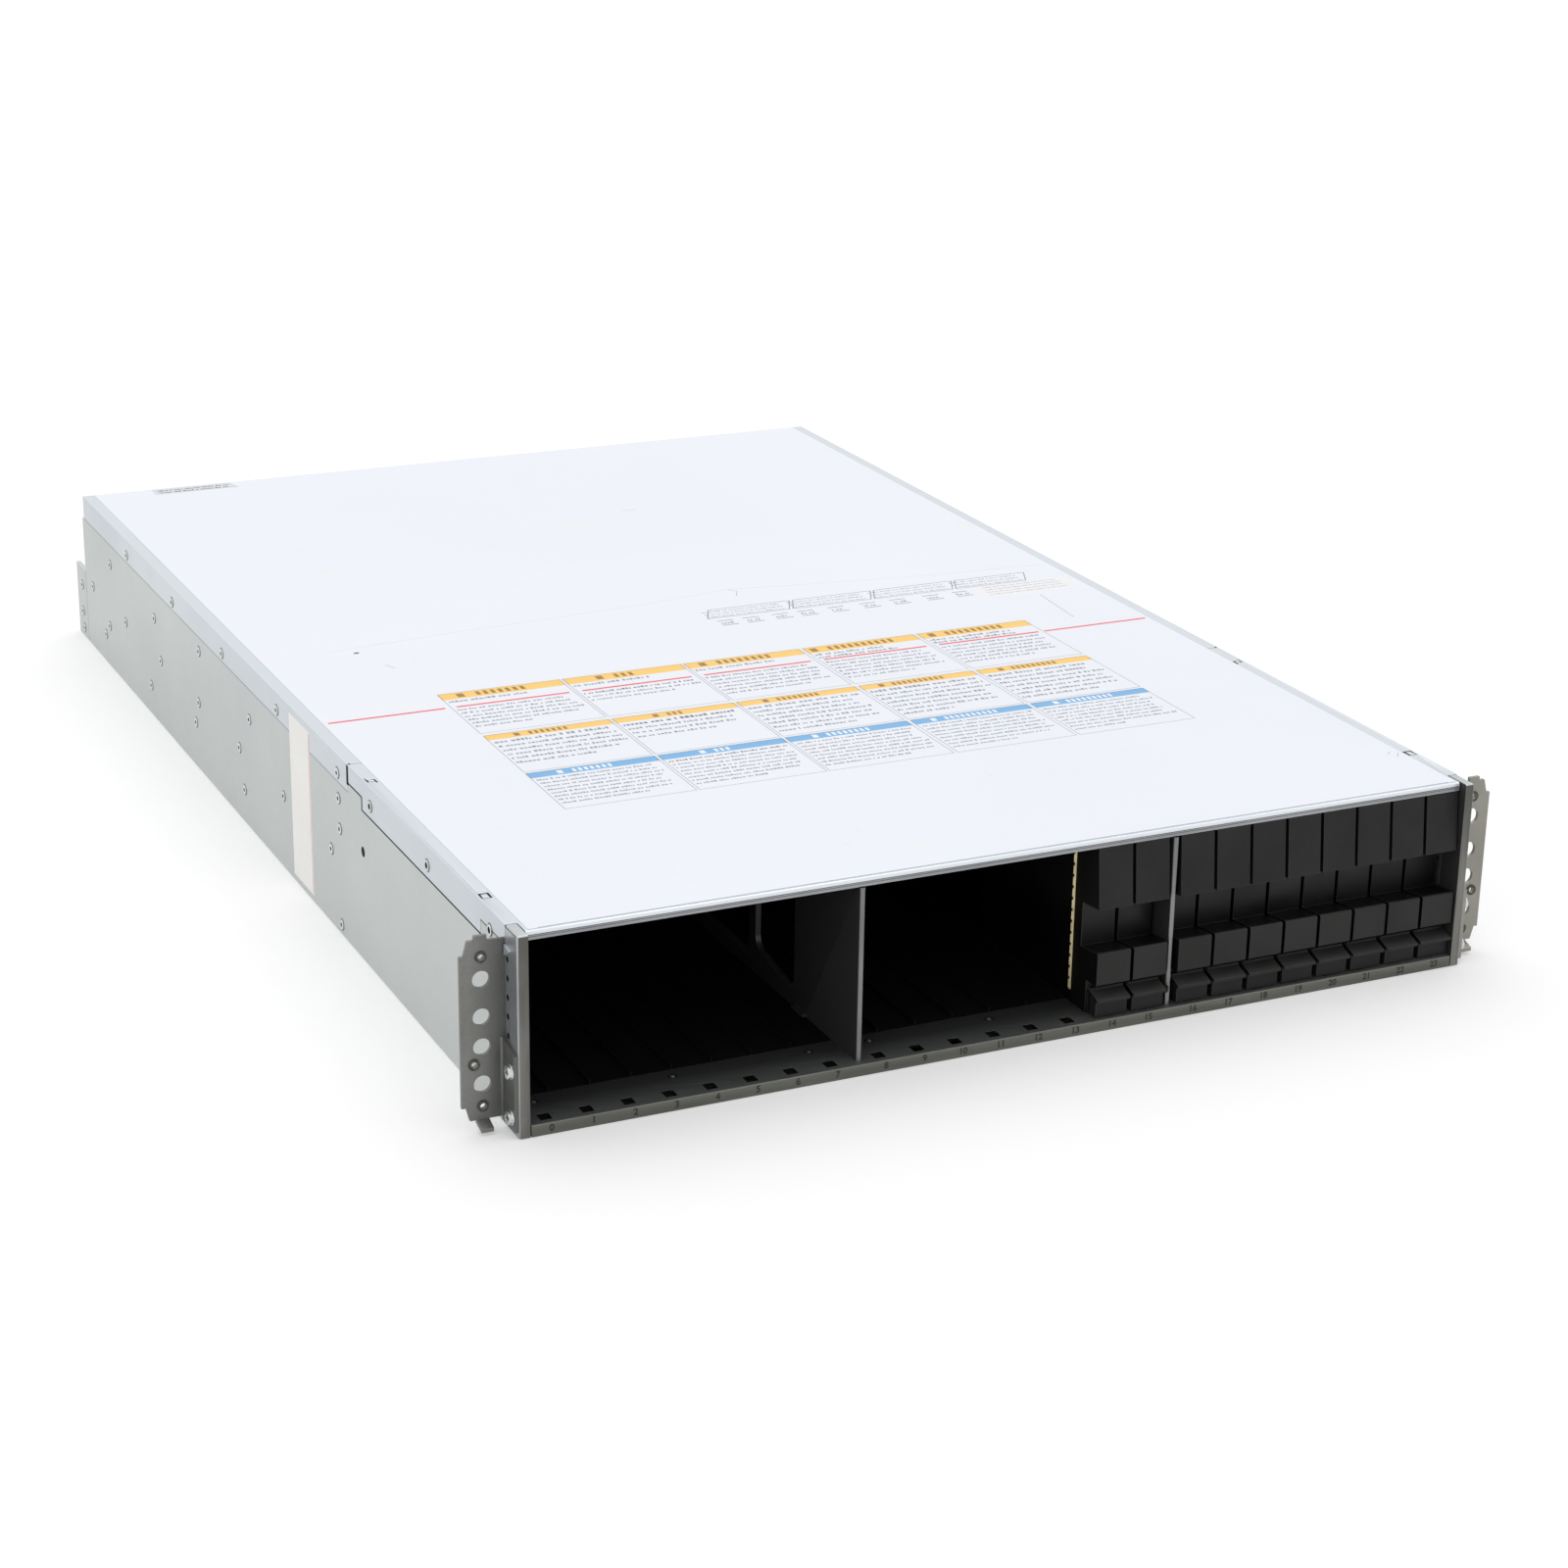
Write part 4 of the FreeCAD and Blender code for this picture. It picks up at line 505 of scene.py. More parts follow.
# A grey ring of painted shadow round each rivet head.
rivet_rim = plain("rivet_rim", (138, 141, 141), (120, 123, 123), 0.5, blots(800), metallic=0.5)
print("fastener metal made")

# %% [markdown]
# The white film is satin, a little blue, and scuffed by sliding in and out of a rack. The blanks are
# charcoal plastic with the fine spark-eroded grain of a mould. Their finger recess is painted near black
# as shade, their ledge and rounded edges lighter as painted light, and the insides are black, darker
# still as painted shade.

# %% Film, tape and the plastic of the blanks
film_white = finish(
    "film_white", (240, 243, 250), 0.0, 0.42,
    ((blots(5, 6), (236, 240, 247), 0.7), (blots(26, 6, Low=0.66, High=0.82), (240, 235, 229), 0.5),
     (scratched((1, 0.04, 1), 0.74), (220, 223, 230), 0.4)), grain(12, 2, 0.1) + SHEET_GRAIN)
tape_white = plain("tape_white", (255, 254, 251), (252, 250, 246), 0.6, blots(40, 5),
                   relief=grain(60, 3, 0.03), Specular_IOR_Level=0.9)
MOULD_GRAIN = grain(3000, 1, 0.01)
blank_plastic = finish(
    "blank_plastic", (28, 28, 27), 0.0, 0.54,
    ((blots(40, 4), (23, 23, 23), 0.8), (blots(2400, 1), (34, 34, 33), 0.3)),
    MOULD_GRAIN, Specular_IOR_Level=0.28)
block_plastic = plain("block_plastic", (35, 35, 34), (30, 30, 29), 0.5, blots(40, 4),
                      relief=MOULD_GRAIN, Specular_IOR_Level=0.3)
# The finger recess and the faces under the ledge: near black as painted shade, paler towards the recess's top
# as painted light.
recess_shade = finish(
    "recess_shade", (5, 5, 5), 0.0, 0.42,
    ((blots(40, 4), (5, 5, 5), 0.8), (rising(0.039, 0.054), (26, 26, 26), 0.7)),
    grain(3000, 1, 0.008), Specular_IOR_Level=0.35)
# The ledge's upward faces: the blank's plastic painted lighter, as light from above.
lit_ledge_plastic = plain("lit_ledge_plastic", (58, 58, 57), (48, 48, 47), 0.5, blots(60, 4),
                      relief=MOULD_GRAIN, Specular_IOR_Level=0.3)
# A painted highlight on the blank's rounded edges.
blank_edge = plain(
    "blank_edge", (58, 58, 57), (44, 44, 43), 0.44, blots(150), Specular_IOR_Level=0.3)
print("film and blank finishes made")

# %% Inner parts, springs, ports and lamps
CASE_GRAIN = grain(2600, 1, 0.01)
# Near black: the black plastic inside the case darkened as painted shade, and painted shade in holes, seams,
# gaps and behind vents.
black_and_shade = plain("black_and_shade", (9, 9, 10), (5, 5, 6), 0.7, blots(50),
                    relief=grain(2200, 1, 0.008), Specular_IOR_Level=0.15)
black_plastic = plain(
    "black_plastic", (34, 34, 35), (24, 24, 25), 0.5, blots(60), relief=CASE_GRAIN)
lever_blue = plain("lever_blue", (58, 66, 80), (48, 55, 68), 0.42, blots(60), relief=CASE_GRAIN)
# A dark green board, darkened nearly to black as painted shade deep inside the case.
board_green = plain("board_green", (12, 30, 20), (8, 20, 14), 0.4,
                    blots(300, 2, Stretch=(1, 1, 0.2)), 0.9,
                    relief=grain(500, 3, 0.02, Stretch=(1, 1, 0.1)))
# painted shade: the spring's far edge and the slots between its fingers are black
DARK_DEPTH, SLOT_DEPTH = mm(0.85, 0.5)
spring_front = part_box("contact_spring_14")[0].y
notches = {"Dark Behind": spring_front + DARK_DEPTH, "Slot Behind": spring_front + SLOT_DEPTH}
spring_copper = finish(
    "spring_copper", (226, 212, 168), 0.6, 0.4,
    ((blots(220), (198, 180, 138), 0.8), ((fingers, notches), (6, 6, 6), 1.0)))
tab_bronze = plain("tab_bronze", (112, 104, 92), (86, 79, 69), 0.45, blots(300), metallic=0.6)
port_gold = plain(
    "port_gold", (196, 160, 84), (150, 118, 56), 0.3, blots(900, Stretch=(1, 0.1, 1)), 0.6, 0.9)
lamp_green, lamp_amber = (
    plain(name, colour, other, 0.25, blots(400), 0.7, Transmission_Weight=0.2)
    for name, colour, other in (("lamp_green", (150, 196, 150), (124, 176, 128)),
                                ("lamp_amber", (226, 186, 112), (206, 160, 88))))
print("other finishes made")

# %% [markdown]
# ## Finishes on the CAD parts
# A part whose shape is already right keeps its CAD mesh and only gets a finish in its material slot.

# %% Hand out the finishes
# each finish with the words that pick its nodes by their names
FINISH_FOR = (
    (case_steel, "base_pan side_plate mid_shelf module_walls rear_bracket _case"),
    (divider_steel, "midplane_rails divider"), (cover_steel, "top_cover"), (film_white, "top_sheet"),
    (tape_white, "side_tape"), (frame_steel, "front_post"), (sill_steel, "floor_sill"),
    (ear_steel, "rack_ear"), (zinc, "ear_screws body_rivets"), (blank_plastic, "drive_blank"),
    (black_and_shade, "drive_guides midplane_sockets"), (board_green, "_board"), (lever_blue, "_lever"),
    (spring_copper, "contact_spring"), (black_plastic, "_inlet _fan_frame _fan_rotor"),
)


def finish_of(name):
    """The finish with a word that the node's name holds."""
    return next(made for made, keys in FINISH_FOR if any(key in name for key in keys.split()))


def give(piece, *finishes):
    """Puts these finishes into the piece's material slots and keeps each face's slot number."""
    numbers = [min(face.material_index, len(finishes) - 1) for face in piece.data.polygons]
    piece.data.materials.clear()
    for made in finishes:
        piece.data.materials.append(made)
    piece.data.polygons.foreach_set("material_index", numbers)


for name, part in nodes.items():
    give(part, finish_of(name))
print("finishes given to", len(nodes), "parts")

# %% [markdown]
# ## Rounded copies of the front parts
# CAD edges are razor sharp, and no bent sheet or moulding is. A copy of each visible part has its flat
# faces merged again and every sharp edge rounded by a bevel of a few tenths of a millimetre. The strip
# that the bevel makes can have its own finish: a brighter one is a painted highlight where an edge
# catches the light, a darker one painted shade along a gap. The copy then stands for the CAD part, which
# keeps its place for collision.

# %% Rounding tool
def link_piece(name, mesh, body, slot, finishes):
    """A new piece that rides on a CAD body and carries these finishes. Its slot is not used."""
    piece = placed_object(name, mesh)
    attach(piece, body)
    give(piece, *finishes)
    return piece


SLOT_OF = {part["node"]: part["material_slot"] for part in frame["record"]["subparts"]}
BODY_OF = {node: body for body, held in frame["record"]["behaviour"]["bodies"].items() for node in held}
FLAT = math.radians(1)
SHARP = math.radians(35)
WELD = 0.001 * MM


def rounded_copy(node, width, finishes, rule=None):
    """Stands for a CAD node, with its sharp edges bevelled by width. The rule picks a finish for
    each face from its middle and its direction, and the bevelled strip gets the last finish."""
    mesh = nodes[node].data.copy()
    work = bmesh.new()
    work.from_mesh(mesh)
    bmesh.ops.remove_doubles(work, verts=work.verts, dist=WELD)
    bmesh.ops.dissolve_limit(work, angle_limit=FLAT, verts=work.verts, edges=work.edges)
    for face in work.faces:
        face.smooth = True
        face.material_index = rule(face) if rule else 0
    work.to_mesh(mesh)
    work.free()
    mesh.set_sharp_from_angle(angle=SHARP)
    piece = link_piece(f"{node}_rounded", mesh, BODY_OF[node], SLOT_OF[node], finishes)
    bevel = piece.modifiers.new("edge_round", "BEVEL")
    bevel.width = width
    bevel.segments = 2
    bevel.limit_method = "ANGLE"
    bevel.angle_limit = SHARP
    bevel.harden_normals = True
    bevel.material = len(finishes) - 1
    bevel.miter_outer = "MITER_ARC"
    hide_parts(node)


print("rounding tool ready")

# %% [markdown]
# One part can carry several finishes. A rule looks at where a face lies and which way it points. The
# walls of the small holes and the inside of a post's channel are painted black as shade, because a hole
# in thin sheet shows its wall first, and that wall lies in shade.

# %% Rules for the frame
STEEL, HAIR, NOSE_DEPTH, HEM_DEPTH = mm(1.2, 0.05, 5, 6)


def post_rule(face):
    """0 front, 1 outer flank and cap, 2 the inside of the channel, black as painted shade, 3 the wall beside
    the bays.
    """
    place, way = face.calc_center_median(), face.normal
    outward = way.x if place.x > 0 else -way.x
    at_flank = abs(abs(place.x) - plate_right) < HAIR
    if way.z > 0.5 or outward > 0.5 and (at_flank or place.y < front + STEEL + HAIR):
        return 1
    if place.y < front + HAIR or way.y < -0.5 and place.y < front + STEEL:
        return 0
    return 3 if abs(outward) > 0.9 and abs(place.x) < plate_right - 2 * STEEL else 2


def sill_rule(face):
    """0 landing, 1 lip, 2 hole walls and underside, black as painted shade."""
    if face.normal.y < -0.4 and face.calc_center_median().y < front + STEEL / 2:
        return 1
    return 0 if face.normal.z > 0.6 and face.calc_center_median().z > sill_top - HAIR * 8 else 2


def divider_rule(face):
    """1 for the nose, 0 elsewhere."""
    return int(face.normal.y < -0.25 and face.calc_center_median().y < front + NOSE_DEPTH)


def cover_rule(face):
    """1 for the front of the hem below its roll, in painted shade, 2 for the cut ends where the covers meet,
    darker as painted shade in the gap.
    """
    way, place = face.normal, face.calc_center_median()
    if way.y < -0.7 and place.y < front + HEM_DEPTH:
        return 1
    at_side = abs(place.x) > plate_right - 2 * STEEL
    return 2 if at_side and (way.z < -0.7 or abs(way.y) > 0.7 and place.y < 0) else 0


print("frame rules ready")

# %% Rules for the ears, the fasteners and the blanks
EAR_LEG_ROOM, EAR_FOOT_TOP, SCREW_CROSS, RIVET_EYE = mm(5, 6, 1.75, 1.0)
# depths behind the front and heights on a blank's face
TOE_DEPTH, RECESS_FRONT, LEDGE_REAR, RECESS_REAR = mm(4, 5, 9, 17)
LEDGE_TOP, BLOCK_TOP, RECESS_TOP = mm(17.5, 36, 55)


def ear_rule_for(node):
    """A rule that finds the tapped collars, which stand in front of the flange."""
    broad = max((face for face in nodes[node].data.polygons if face.normal.y < -0.9
                 and abs(face.center.x) > plate_right + EAR_LEG_ROOM), key=lambda face: face.area)

    def rule(face):
        place = face.calc_center_median()
        ahead = broad.center.y - place.y
        return int(HAIR < ahead < STEEL and abs(place.x) > plate_right + EAR_LEG_ROOM
                   and place.z > EAR_FOOT_TOP)
    return rule


def loose_middles(mesh):
    """The middle of each loose part of a mesh."""
    work = bmesh.new()
    work.from_mesh(mesh)
    bmesh.ops.remove_doubles(work, verts=work.verts, dist=WELD)
    seen, middles = set(), []
    for seed in work.verts:
        if seed in seen:
            continue
        seen.add(seed)
        queue, held = [seed], []
        while queue:
            vert = queue.pop()
            held.append(vert.co.copy())
            for edge in vert.link_edges:
                other = edge.other_vert(vert)
                if other not in seen:
                    seen.add(other)
                    queue.append(other)
        ends = [(min(place[k] for place in held), max(place[k] for place in held)) for k in range(3)]
        middles.append(Vector([(low + high) / 2 for low, high in ends]))
    work.free()
    return middles


def pit_rule_for(node, reach):
    """1 for faces that lie within reach of a fastener's own axis: its dimple or cross."""
    middles = loose_middles(nodes[node].data)

    def rule(face):
        place = face.calc_center_median()
        axis = min(middles, key=lambda spot: (spot - place).length)
        far = max(math.hypot(vert.co.y - axis.y, vert.co.z - axis.z) for vert in face.verts)
        return int(far < reach)
    return rule


def blank_rule(face):
    """0 head, 1 lower block, 2 finger recess and the faces set back under the ledge, dark as painted shade, 3
    the ledge's upward faces, lighter as painted light.
    """
    place, way = face.calc_center_median(), face.normal
    depth = place.y - front
    if RECESS_FRONT < depth < RECESS_REAR and LEDGE_TOP < place.z < RECESS_TOP:
        return 2
    if place.z < LEDGE_TOP:
        return 3 if way.z > 0.3 and depth < LEDGE_REAR else 2 if depth > TOE_DEPTH else 1
    return 1 if place.z < BLOCK_TOP else 0


print("fastener and blank rules ready")

# %% Round and paint the parts
FRAME_SET = (frame_steel, post_flank, black_and_shade, divider_steel, frame_edge_highlight)
# the width of the rounding in millimetres, the finishes and the rule that hands them out
ROUNDED = {
    "left_front_post": (0.3, FRAME_SET, post_rule),
    "right_front_post": (0.3, FRAME_SET, post_rule),
    "floor_sill": (0.2, (sill_steel, lip_steel, black_and_shade, lip_edge), sill_rule),
    "left_rack_ear": (0.2, (ear_steel, tap_steel, ear_edge), ear_rule_for("left_rack_ear")),
    "right_rack_ear": (0.2, (right_ear_lit_steel, tap_steel, ear_edge), ear_rule_for("right_rack_ear")),
    "left_divider": (0.25, (divider_steel, divider_nose, divider_nose), divider_rule),
    "right_divider": (0.25, (divider_steel, divider_nose, divider_nose), divider_rule),
    "front_top_cover": (0.15, (cover_steel, hem_steel, black_and_shade, cover_steel), cover_rule),
    "rear_top_cover": (0.15, (cover_steel, hem_steel, hem_steel, cover_steel), cover_rule),
    "ear_screws": (0.45, (zinc, rivet_hollow, zinc), pit_rule_for("ear_screws", SCREW_CROSS)),
    "body_rivets": (0.15, (rivet_steel, rivet_hollow, rivet_steel), pit_rule_for("body_rivets", RIVET_EYE)),
}
for bay in range(FIRST_BLANK, BAYS):
    ROUNDED[f"drive_blank_{bay}"] = (
        0.2, (blank_plastic, block_plastic, recess_shade, lit_ledge_plastic, blank_edge), blank_rule)
for node in nodes:
    if node.endswith("_lever"):
        ROUNDED[node] = (0.5, (lever_blue,), None)
for node, (width, finishes, rule) in ROUNDED.items():
    rounded_copy(node, width * MM, finishes, rule)
print("rounded:", len(ROUNDED), "parts")

# %% [markdown]
# ## Thin plates
# Ink, tape edges and small tabs are all thin closed plates that lie on a face. One tool makes them: a
# plate is an outline, the way it rises and the number of its finish, and many plates make one piece.
# Ink is really a few hundredths of a millimetre thick, so it's drawn as geometry and not as a picture,
# and stays sharp from any distance.

# %% Plate tool
SIDES = {
    "top": (Vector((1, 0, 0)), Vector((0, 1, 0)), Vector((0, 0, 1))),
    "front": (Vector((1, 0, 0)), Vector((0, 0, 1)), Vector((0, -1, 0))),
    "rear": (Vector((-1, 0, 0)), Vector((0, 0, 1)), Vector((0, 1, 0))),
    "left": (Vector((0, -1, 0)), Vector((0, 0, 1)), Vector((-1, 0, 0))),
    "right": (Vector((0, 1, 0)), Vector((0, 0, 1)), Vector((1, 0, 0))),
}


def in_mm(points):
    """Pairs of numbers given in millimetres, in metres."""
    return [mm(*pair) for pair in points]


def rectangle(left, right, low, high):
    return [(left, low), (right, low), (right, high), (left, high)]


def outline_on(side, origin, points):
    """Flat points (along, up) as places on a side of the object, counted from an origin."""
    along, up, _ = SIDES[side]
    return [origin + a * along + u * up for a, u in points]


def plate(side, origin, points, rise, number=0):
    """One thin closed plate: its outline on a side, the way it rises and the number of its finish."""
    return outline_on(side, origin, points), rise * SIDES[side][2], number


def plates(name, body, slot, finishes, shapes):
    """One piece of many thin closed plates."""
    corners, sides, numbers = [], [], []
    for outline, rise, number in shapes:
        first, count = len(corners), len(outline)
        corners += [*outline, *(place + rise for place in outline)]
        sides.append([first + k for k in reversed(range(count))])
        sides.append([first + count + k for k in range(count)])
        for k in range(count):
            after = (k + 1) % count
            sides.append([first + k, first + after, first + count + after, first + count + k])
        numbers += [number] * (count + 2)
    mesh = bpy.data.meshes.new(name)
    mesh.from_pydata([tuple(place) for place in corners], [], sides)
    mesh.polygons.foreach_set("material_index", numbers)
    print(name, len(shapes), "plates")
    return link_piece(name, mesh, body, slot, finishes)


print("plate tool ready")

# %% [markdown]
# ## Print on the film
# The film carries a ruled table of five columns and three rows, with a coloured bar at the rear of each
# cell, lines of small print and a red line across the whole top. The marks here are word-like runs of
# short strokes that spell nothing, set as a printer would set dummy text. A seeded random keeps them
# the same on every run.

# %% Inks
INK_RISE = 0.02 * MM
# each ink's own colour and the one that it mottles into
INK_COLOURS = {
    "grey": ((138, 141, 152), (152, 155, 165)),
    "dark": ((92, 92, 98), (106, 106, 112)),
    "black": ((34, 32, 30), (48, 46, 43)),
    "brown": ((150, 112, 44), (162, 124, 56)),
    "line": ((168, 171, 181), (180, 183, 192)),
    "amber": ((253, 204, 104), (253, 209, 116)),
    "blue": ((116, 178, 228), (126, 185, 231)),
    "red": ((235, 84, 98), (237, 98, 110)),
    "white": ((246, 248, 251), (238, 241, 246)),
    "pale": ((214, 217, 224), (222, 225, 231)),
    "cream": ((243, 243, 246), (241, 240, 243)),
    "scuff": ((178, 176, 172), (196, 194, 190)),
}
INKS = {name: plain(f"print_{name}", colour, other, 0.5, blots(300), 0.7)
        for name, (colour, other) in INK_COLOURS.items()}
INK_NUMBER = {name: k for k, name in enumerate(INKS)}
film_origin = Vector((0, front, film_top))
film_marks = []


def film_mark(points, colour, layers=1):
    """Prints an outline on the film. Points are in millimetres from the middle and the front."""
    film_marks.append(plate("top", film_origin, in_mm(points), layers * INK_RISE, INK_NUMBER[colour]))


def film_rule(x0, y0, x1, y1, wide, colour):
    """A straight printed line of the given width between two points."""
    run = Vector((x1 - x0, y1 - y0)).normalized() * wide / 2
    film_mark([(x0 + run.y, y0 - run.x), (x1 + run.y, y1 - run.x),
               (x1 - run.y, y1 + run.x), (x0 - run.y, y0 + run.x)], colour)


def film_box(left, right, near, rear, wide, colour, lean=0):
    """Four lines round a box whose rear edge is shifted to the right by its lean."""
    film_rule(left, near, right, near, wide, colour)
    film_rule(left + lean, rear, right + lean, rear, wide, colour)
    for across in (left, right):
        film_rule(across, near, across + lean, rear, wide, colour)


print("inks:", ", ".join(INKS))

# %% Lines of dummy words
SEED = 24
# shares of the letter height: a stroke's width and height, then the gaps after a stroke and a word
STROKE_WIDE, STROKE_HIGH, STROKE_GAP, WORD_GAP = (0.25, 0.65), (0.55, 0.55, 0.8), 0.2, 0.4
STROKES_IN_WORD = (1, 6)
HEAD_STEP, HEAD_WIDE, HEAD_SIGN = 0.74, 0.4, (1.9, 1.2)
dice = random.Random(SEED)


def words(left, right, line, tall, colour="grey", layers=1):
    """Short strokes in word-like runs between two ends of a line."""
    place = left
    while place < right:
        for _ in range(dice.randint(*STROKES_IN_WORD)):
            wide = tall * dice.uniform(*STROKE_WIDE)
            if place + wide > right:
                return
            high = tall * dice.choice(STROKE_HIGH)
            film_mark(rectangle(place, place + wide, line, line + high), colour, layers)
            place += wide + tall * STROKE_GAP
        place += tall * WORD_GAP


def heading(left, right, line, tall, colour, strokes):
    """One wide run of even strokes in the middle of a bar, with a single stroke before it."""
    step, wide = tall * HEAD_STEP, tall * HEAD_WIDE
    start = (left + right - strokes * step) / 2
    bars = [(start - tall * HEAD_SIGN[0], start - tall * HEAD_SIGN[1])]
    bars += [(start + k * step, start + k * step + wide) for k in range(strokes)]
    for near, far in bars:
        film_mark(rectangle(near, far, line, line + tall), colour, 2)


print("word tools ready")

# %% Table
COLUMNS = ((-155, -94.5), (-93, -32.5), (-31, 30), (32, 92.5), (94.5, 155))
STROKES = (7, 3, 8, 10, 9)
CELL_MARGIN, HAIRLINE = 1.5, 0.4
RED_LINE, RED_WIDE, RED_ENDS = 265, 1.7, ((-213.7, -157.9), (155.8, 213.7))
# a heading's foot and height as shares of its bar, and the drop to the first line below a bar
HEAD_FOOT, HEAD_TALL, FIRST_DROP, RED_DROP = 0.2, 0.58, 0.9, 1.1
# rear, front and bar edge of each row, bar colour, letter height and line pitch
ROWS = ((284.5, 226, 276, "amber", 2.4, 4.9), (222.5, 171, 216, "amber", 2.7, 5.6),
        (169, 122, 162.5, "blue", 2.0, 4.3))
LINES = ((6, 3, 6, 6, 6), (6, 4, 7, 7, 7), (8, 8, 8, 8, 8))
# how far a cell's last line, its other lines and those above the red line stop short of its edge
LAST_GAP, FULL_GAP, INTRO_GAP = (12, 34), (0, 6), (8, 22)
INTRO_PITCH, FIRST_TALLER = 4.2, 1.2

for (rear, near, bar, colour, tall, pitch), counts in zip(ROWS, LINES):
    for (left, right), strokes, count in zip(COLUMNS, STROKES, counts):
        film_box(left, right, near, rear, HAIRLINE, "line")
        film_mark(rectangle(left, right, bar, rear), colour)
        heading(left, right, bar + (rear - bar) * HEAD_FOOT, (rear - bar) * HEAD_TALL,
                "white" if colour == "blue" else "brown", strokes)
        line = bar - pitch * FIRST_DROP
        inner_left, inner_right = left + CELL_MARGIN, right - CELL_MARGIN
        if rear > RED_LINE:
            for extra in range(1 + (strokes > 8)):
                words(inner_left, inner_right - dice.uniform(*INTRO_GAP), line - extra * INTRO_PITCH,
                      tall * FIRST_TALLER)
            film_rule(inner_left + 1, RED_LINE, inner_right - 1, RED_LINE, RED_WIDE, "red")
            line = RED_LINE - pitch * RED_DROP
        for number in range(count):
            gap = LAST_GAP if number == count - 1 else FULL_GAP
            size = tall * (FIRST_TALLER if number == 0 and colour == "amber" and rear < RED_LINE else 1)
            words(inner_left, inner_right - dice.uniform(*gap), line, size,
                  "dark" if strokes == 3 and number == 0 else "grey")
            line -= pitch
for x0, x1 in RED_ENDS:
    film_rule(x0, RED_LINE, x1, RED_LINE, RED_WIDE, "red")
print("table printed,", len(film_marks), "marks so far")

# %% Strip behind the table
BOXES, BOX_NEAR, BOX_REAR, BOX_LEAN = ((9, 54), (56, 100), (102, 147), (149, 190)), 346, 359.5, 6
BOX_WIDE, BOX_LINES, BOX_TALL = 0.55, (347.5, 351.5, 355.5), 1.9
FLAGS, FLAG_HALF, FLAG_WIDE = (16, 30, 46, 60, 77, 95, 112, 131, 148), 4.5, 0.8
FLAG_RULES, FLAG_LINE, FLAG_TALL, FLAG_REACH = (333.5, 340.5), 335.6, 2.6, 3.8
for left, right in BOXES:
    for line in BOX_LINES:
        words(left + 1, right - 1, line, BOX_TALL, "line")
    film_box(left, right, BOX_NEAR, BOX_REAR, BOX_WIDE, "grey", BOX_LEAN)
for middle in FLAGS:
    for line in FLAG_RULES:
        film_rule(middle - FLAG_HALF, line, middle + FLAG_HALF, line, FLAG_WIDE, "grey")
    words(middle - FLAG_REACH, middle + FLAG_REACH, FLAG_LINE, FLAG_TALL)
print("strip printed,", len(film_marks), "marks so far")

# %% Stickers: a cream one with lines of words and scuffs in front of it, and a pale one at the rear
CREAM_STICKER = ((154, 328), (158, 345), (214, 345), (214, 326), (186, 323))
CREAM_LINES, CREAM_LEFT, CREAM_RIGHT, CREAM_TALL = (329.5, 333.5, 337.5, 341.5), 160, 206, 1.3
CREAM_FOOT, CREAM_LEAN = 329, 0.2
SCUFFS, SCUFF_PITCH, SCUFF_DRIFT, SCUFF_WIDE, SCUFF_LONG = 13, 3.1, 0.25, 1.0, 1.6
SCUFF_LEFT, SCUFF_NEAR = 183.8, 318
PALE_STICKER = ((-184, 677), (-136, 677), (-139, 688), (-184, 688))
PALE_LINES, PALE_LEFT, PALE_RIGHT, PALE_TALL = (679, 683), -181, -141, 2.4

film_mark(CREAM_STICKER, "cream")
for line in CREAM_LINES:
    words(CREAM_LEFT + (line - CREAM_FOOT) * CREAM_LEAN, CREAM_RIGHT, line, CREAM_TALL, "line", 2)
for k in range(SCUFFS):
    left, near = SCUFF_LEFT - k * SCUFF_DRIFT, SCUFF_NEAR - k * SCUFF_PITCH
    film_mark(rectangle(left, left + SCUFF_WIDE, near, near + SCUFF_LONG), "scuff")
film_mark(PALE_STICKER, "pale")
for line in PALE_LINES:
    words(PALE_LEFT, PALE_RIGHT, line, PALE_TALL, "dark", 2)
print("stickers printed,", len(film_marks), "marks so far")

# %% Handling marks: creases drawn as lines of painted shade, nicks and one stain, and a line of painted shadow along the film's front edge
CREASE = ((-182, 365), (-120, 372), (-67, 376), (-10, 381), (39, 389), (96, 380), (150, 373), (211, 368.5))
NICKS = (((39, 389), (42, 384), (38.5, 377)), ((46.5, 549.5), (50, 548.6), (54, 549.8)),
         ((-163, 336), (-160, 330)), ((208.5, 46), (211.5, 48.5)), ((211, 42), (214, 46)))
STAIN = ((-171.4, 358.2), (-169.6, 357.6), (-168.2, 359), (-169.4, 360.2), (-171, 359.8))
CREASE_WIDE, NICK_WIDE = 0.35, 0.4
FILM_EDGE, EDGE_REACH, EDGE_WIDE = 5.5, 212, 0.5
for run, wide, colour in ((CREASE, CREASE_WIDE, "pale"), *((nick, NICK_WIDE, "scuff") for nick in NICKS)):
    for start, end in zip(run, run[1:]):
        film_rule(*start, *end, wide, colour)
film_mark(STAIN, "dark")
film_rule(-EDGE_REACH, FILM_EDGE, EDGE_REACH, FILM_EDGE, EDGE_WIDE, "line")
plates("film_print", "chassis", "white_film", list(INKS.values()), film_marks)

# %% [markdown]
# ## Small marks on the frame
# The bays are numbered from 0 to 23 on the lip under their openings. The digits come from Blender's own
# font, turned upright and made into one mesh. The seal tape has a thin red line near its front edge and a
# pale line of painted shade at its fold, and the hem shows where the sheet folds back on itself in two
# thin lines of painted shade.

# %% Bay numbers
DIGIT_TALL, DIGIT_RISE, DIGIT_STROKE, DIGIT_LIFT = mm(2.8, 0.02, 0.16, 2.6)
FONT_SHARE = 0.69
UPRIGHT = Matrix.Rotation(math.pi / 2, 4, "X")


